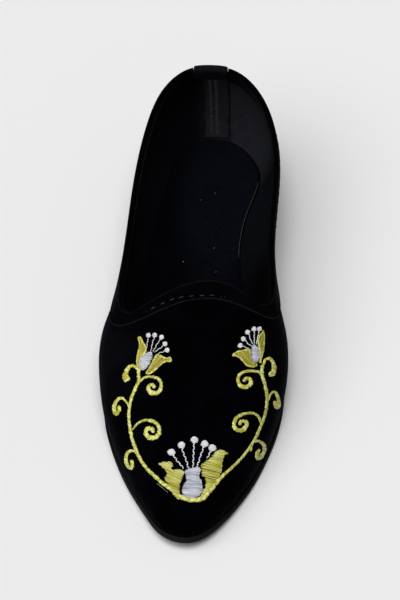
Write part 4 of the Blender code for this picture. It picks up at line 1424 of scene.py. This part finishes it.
# The large flower at the toe.
LEFT_PETAL = [
    (-11.1, 59.0), (-9.6, 58.0), (-7.0, 57.7), (-5.3, 58.2), (-4.7, 59.3), (-5.4, 60.4), (-4.3, 61.2),
    (-2.2, 60.9), (-0.4, 61.2), (0.4, 61.8), (-0.1, 63.8), (-0.9, 66.0), (-1.2, 68.3), (-1.0, 70.5),
    (-0.1, 72.5), (1.1, 73.6), (-1.5, 73.4), (-3.3, 71.9), (-4.6, 70.2), (-5.8, 68.5), (-6.8, 67.3),
    (-7.7, 65.6), (-8.0, 64.6), (-7.2, 63.5), (-7.7, 61.9), (-9.2, 60.4),
]
RIGHT_PETAL = [
    (13.7, 52.9), (14.8, 52.0), (16.8, 51.9), (18.5, 52.6), (19.3, 53.4), (17.9, 53.9), (17.3, 55.7),
    (17.0, 58.0), (16.9, 60.2), (16.4, 62.3), (15.8, 64.1), (14.7, 66.0), (13.0, 68.2), (11.1, 70.5),
    (9.6, 72.4), (8.5, 73.4), (8.4, 72.0), (9.3, 70.0), (10.2, 67.9), (10.5, 65.8), (9.6, 64.0),
    (8.5, 62.9), (8.6, 61.4), (7.9, 60.1), (8.2, 58.5), (9.6, 57.1), (11.2, 55.9), (12.6, 54.6),
]
BODY = [
    (0.6, 61.7), (1.9, 60.7), (4.4, 59.9), (6.8, 59.6), (7.8, 60.3), (7.5, 62.2), (7.6, 64.0), (8.5, 65.7),
    (9.0, 68.0), (8.8, 70.2), (7.7, 71.8), (5.8, 72.8), (3.4, 72.9), (1.5, 72.2), (0.5, 70.8), (0.2, 69.0),
    (0.8, 67.1), (1.8, 65.9), (1.6, 64.4), (1.1, 63.1),
]
BIG_HEADS = [(-5.8, 53.6), (-1.5, 50.3), (4.2, 47.8), (8.9, 49.3), (12.4, 51.0)]
BIG_FEET = [(0.2, 60.5), (2.5, 60.6), (4.4, 60.2), (5.6, 60.3), (10.4, 55.8)]
for head, foot in zip(BIG_HEADS, BIG_FEET):
    stamen(foot, head, 0.26, 0.34)
    fill(white, oval(*head, 1.65, 1.45), rng.uniform(-20, 20), pitch=0.40, height=0.75, lift=0.1, spread=0.03)
for petal, tilt, skip in ((LEFT_PETAL, 24, (0.70,)), (RIGHT_PETAL, 12, (0.43, 0.55, 0.585))):
    fill(olive, inset_outline(petal, 0.6), tilt + 70, pitch=0.5, height=0.15)
    fill(yellow, petal, tilt, height=0.5, lift=0.15, skip=skip, ragged=0.45, thick=0.24)
fill(silver, BODY, 4, height=0.7, lift=0.2, ragged=0.35, thick=0.24)
STRAY = [(-11.6, 67.2), (-9.0, 68.9), (-6.2, 70.9)]  # a thread beside the stem
satin(stray, STRAY, (0.10, 0.10, 0.10), height=0.2, pitch=0.7, lift=0.05)

yellow.build("embroidery_yellow", THREAD_YELLOW, "upper")
olive.build("embroidery_olive", THREAD_OLIVE, "upper")
silver.build("embroidery_silver", THREAD_SILVER, "upper")
white.build("embroidery_white", THREAD_WHITE, "upper")
stray.build("stray_thread", LINT, "upper")


# ---- Floor, light and camera

FLOOR_DROP = 0.00005  # under the tread
FLOOR_RADII = (0.5, 4.0)  # of its middle disc and its edge
BACKDROP_RADIUS = 3.9
BACKDROP_RISE = [-20, 0, 20, 45, 70, 89]  # degrees above the floor
PALE = 0.839
AMBIENT = 0.14
# Where each lamp stands, how wide it looks in degrees, and how much of the open floor's light it gives.
LAMPS = [
    ("overhead", (0.06, -0.23, 1.0), 30, 0.487),
    ("key", (-0.50, -0.38, 1.0), 60, 0.36),
]
# The view: 50 degrees above the floor, a little to the medial side of the toe.
VIEW_SIDE = math.radians(2.4)
VIEW_DOWN = math.radians(50)
EYE = (0.05385, 0.0332, -1.1)  # right, up and forward of the chart's origin, along the view's own axes
AIM = (0.0005, 0.0, 0.026)
FOCAL = 2281 / 600  # focal length over the frame's longer side
SENSOR = 36


def studio():
    turns = np.radians(np.arange(0, 360, 5))
    count = len(turns)
    level = np.column_stack([np.cos(turns), np.sin(turns), np.zeros(count)])
    faces = [list(range(count))]
    faces += [[i, count + i, count + (i + 1) % count, (i + 1) % count] for i in range(count)]
    mesh = mesh_of("floor", np.concatenate([level * radius for radius in FLOOR_RADII]).tolist(), faces)
    floor = place("floor", mesh)
    floor.location.z = -FLOOR_DROP
    mesh.materials.append(plain_floor())

    # A pale wall of air behind everything, that only the camera sees.
    dome = [
        (level * math.cos(angle) + np.array([0, 0, math.sin(angle)])) * BACKDROP_RADIUS
        for angle in np.radians(BACKDROP_RISE)
    ]
    faces = [
        [k + i, k + (i + 1) % count, k + count + (i + 1) % count, k + count + i]
        for k in range(0, (len(dome) - 1) * count, count)
        for i in range(count)
    ]
    mesh = mesh_of("backdrop", np.concatenate(dome).tolist(), faces)
    backdrop = place("backdrop", mesh)
    air = Shader("backdrop_air", 1.0)
    air.main.inputs["Base Color"].default_value = (0, 0, 0, 1)
    air.main.inputs["Emission Color"].default_value = (1, 1, 1, 1)
    air.main.inputs["Emission Strength"].default_value = PALE
    mesh.materials.append(air.material)
    for ray in ("diffuse", "glossy", "transmission", "volume_scatter", "shadow"):
        setattr(backdrop, "visible_" + ray, False)

    world = bpy.data.worlds.new("studio")
    world.use_nodes = True
    world.node_tree.nodes["Background"].inputs["Color"].default_value = (1.0, 1.0, 1.0, 1)
    world.node_tree.nodes["Background"].inputs["Strength"].default_value = AMBIENT
    bpy.context.scene.world = world
    for name, source, spread, share in LAMPS:
        lamp = bpy.data.lights.new(name, "SUN")
        way = Vector(source).normalized()
        lamp.energy = share * math.pi / way.z
        lamp.angle = math.radians(spread)
        place(name, lamp).rotation_euler = way.to_track_quat("Z", "Y").to_euler()


def make_camera():
    flat = Vector((-math.sin(VIEW_SIDE), math.cos(VIEW_SIDE), 0))
    forward = flat * math.cos(VIEW_DOWN) - Vector((0, 0, math.sin(VIEW_DOWN)))
    right = Vector((math.cos(VIEW_SIDE), math.sin(VIEW_SIDE), 0))
    up = right.cross(forward)
    eye = Vector(CHART_ORIGIN) + right * EYE[0] + up * EYE[1] + forward * EYE[2]
    aim = (Vector(AIM) - eye).normalized()
    turn = forward.rotation_difference(aim)
    data = bpy.data.cameras.new("camera")
    data.sensor_width = SENSOR
    data.lens = FOCAL * SENSOR
    data.clip_start = 0.05
    camera = place("camera", data)
    matrix = Matrix((turn @ right, turn @ up, -aim)).transposed().to_4x4()
    matrix.translation = eye
    camera.matrix_world = matrix
    bpy.context.scene.camera = camera


studio()
make_camera()
bpy.context.scene.view_settings.view_transform = "Standard"
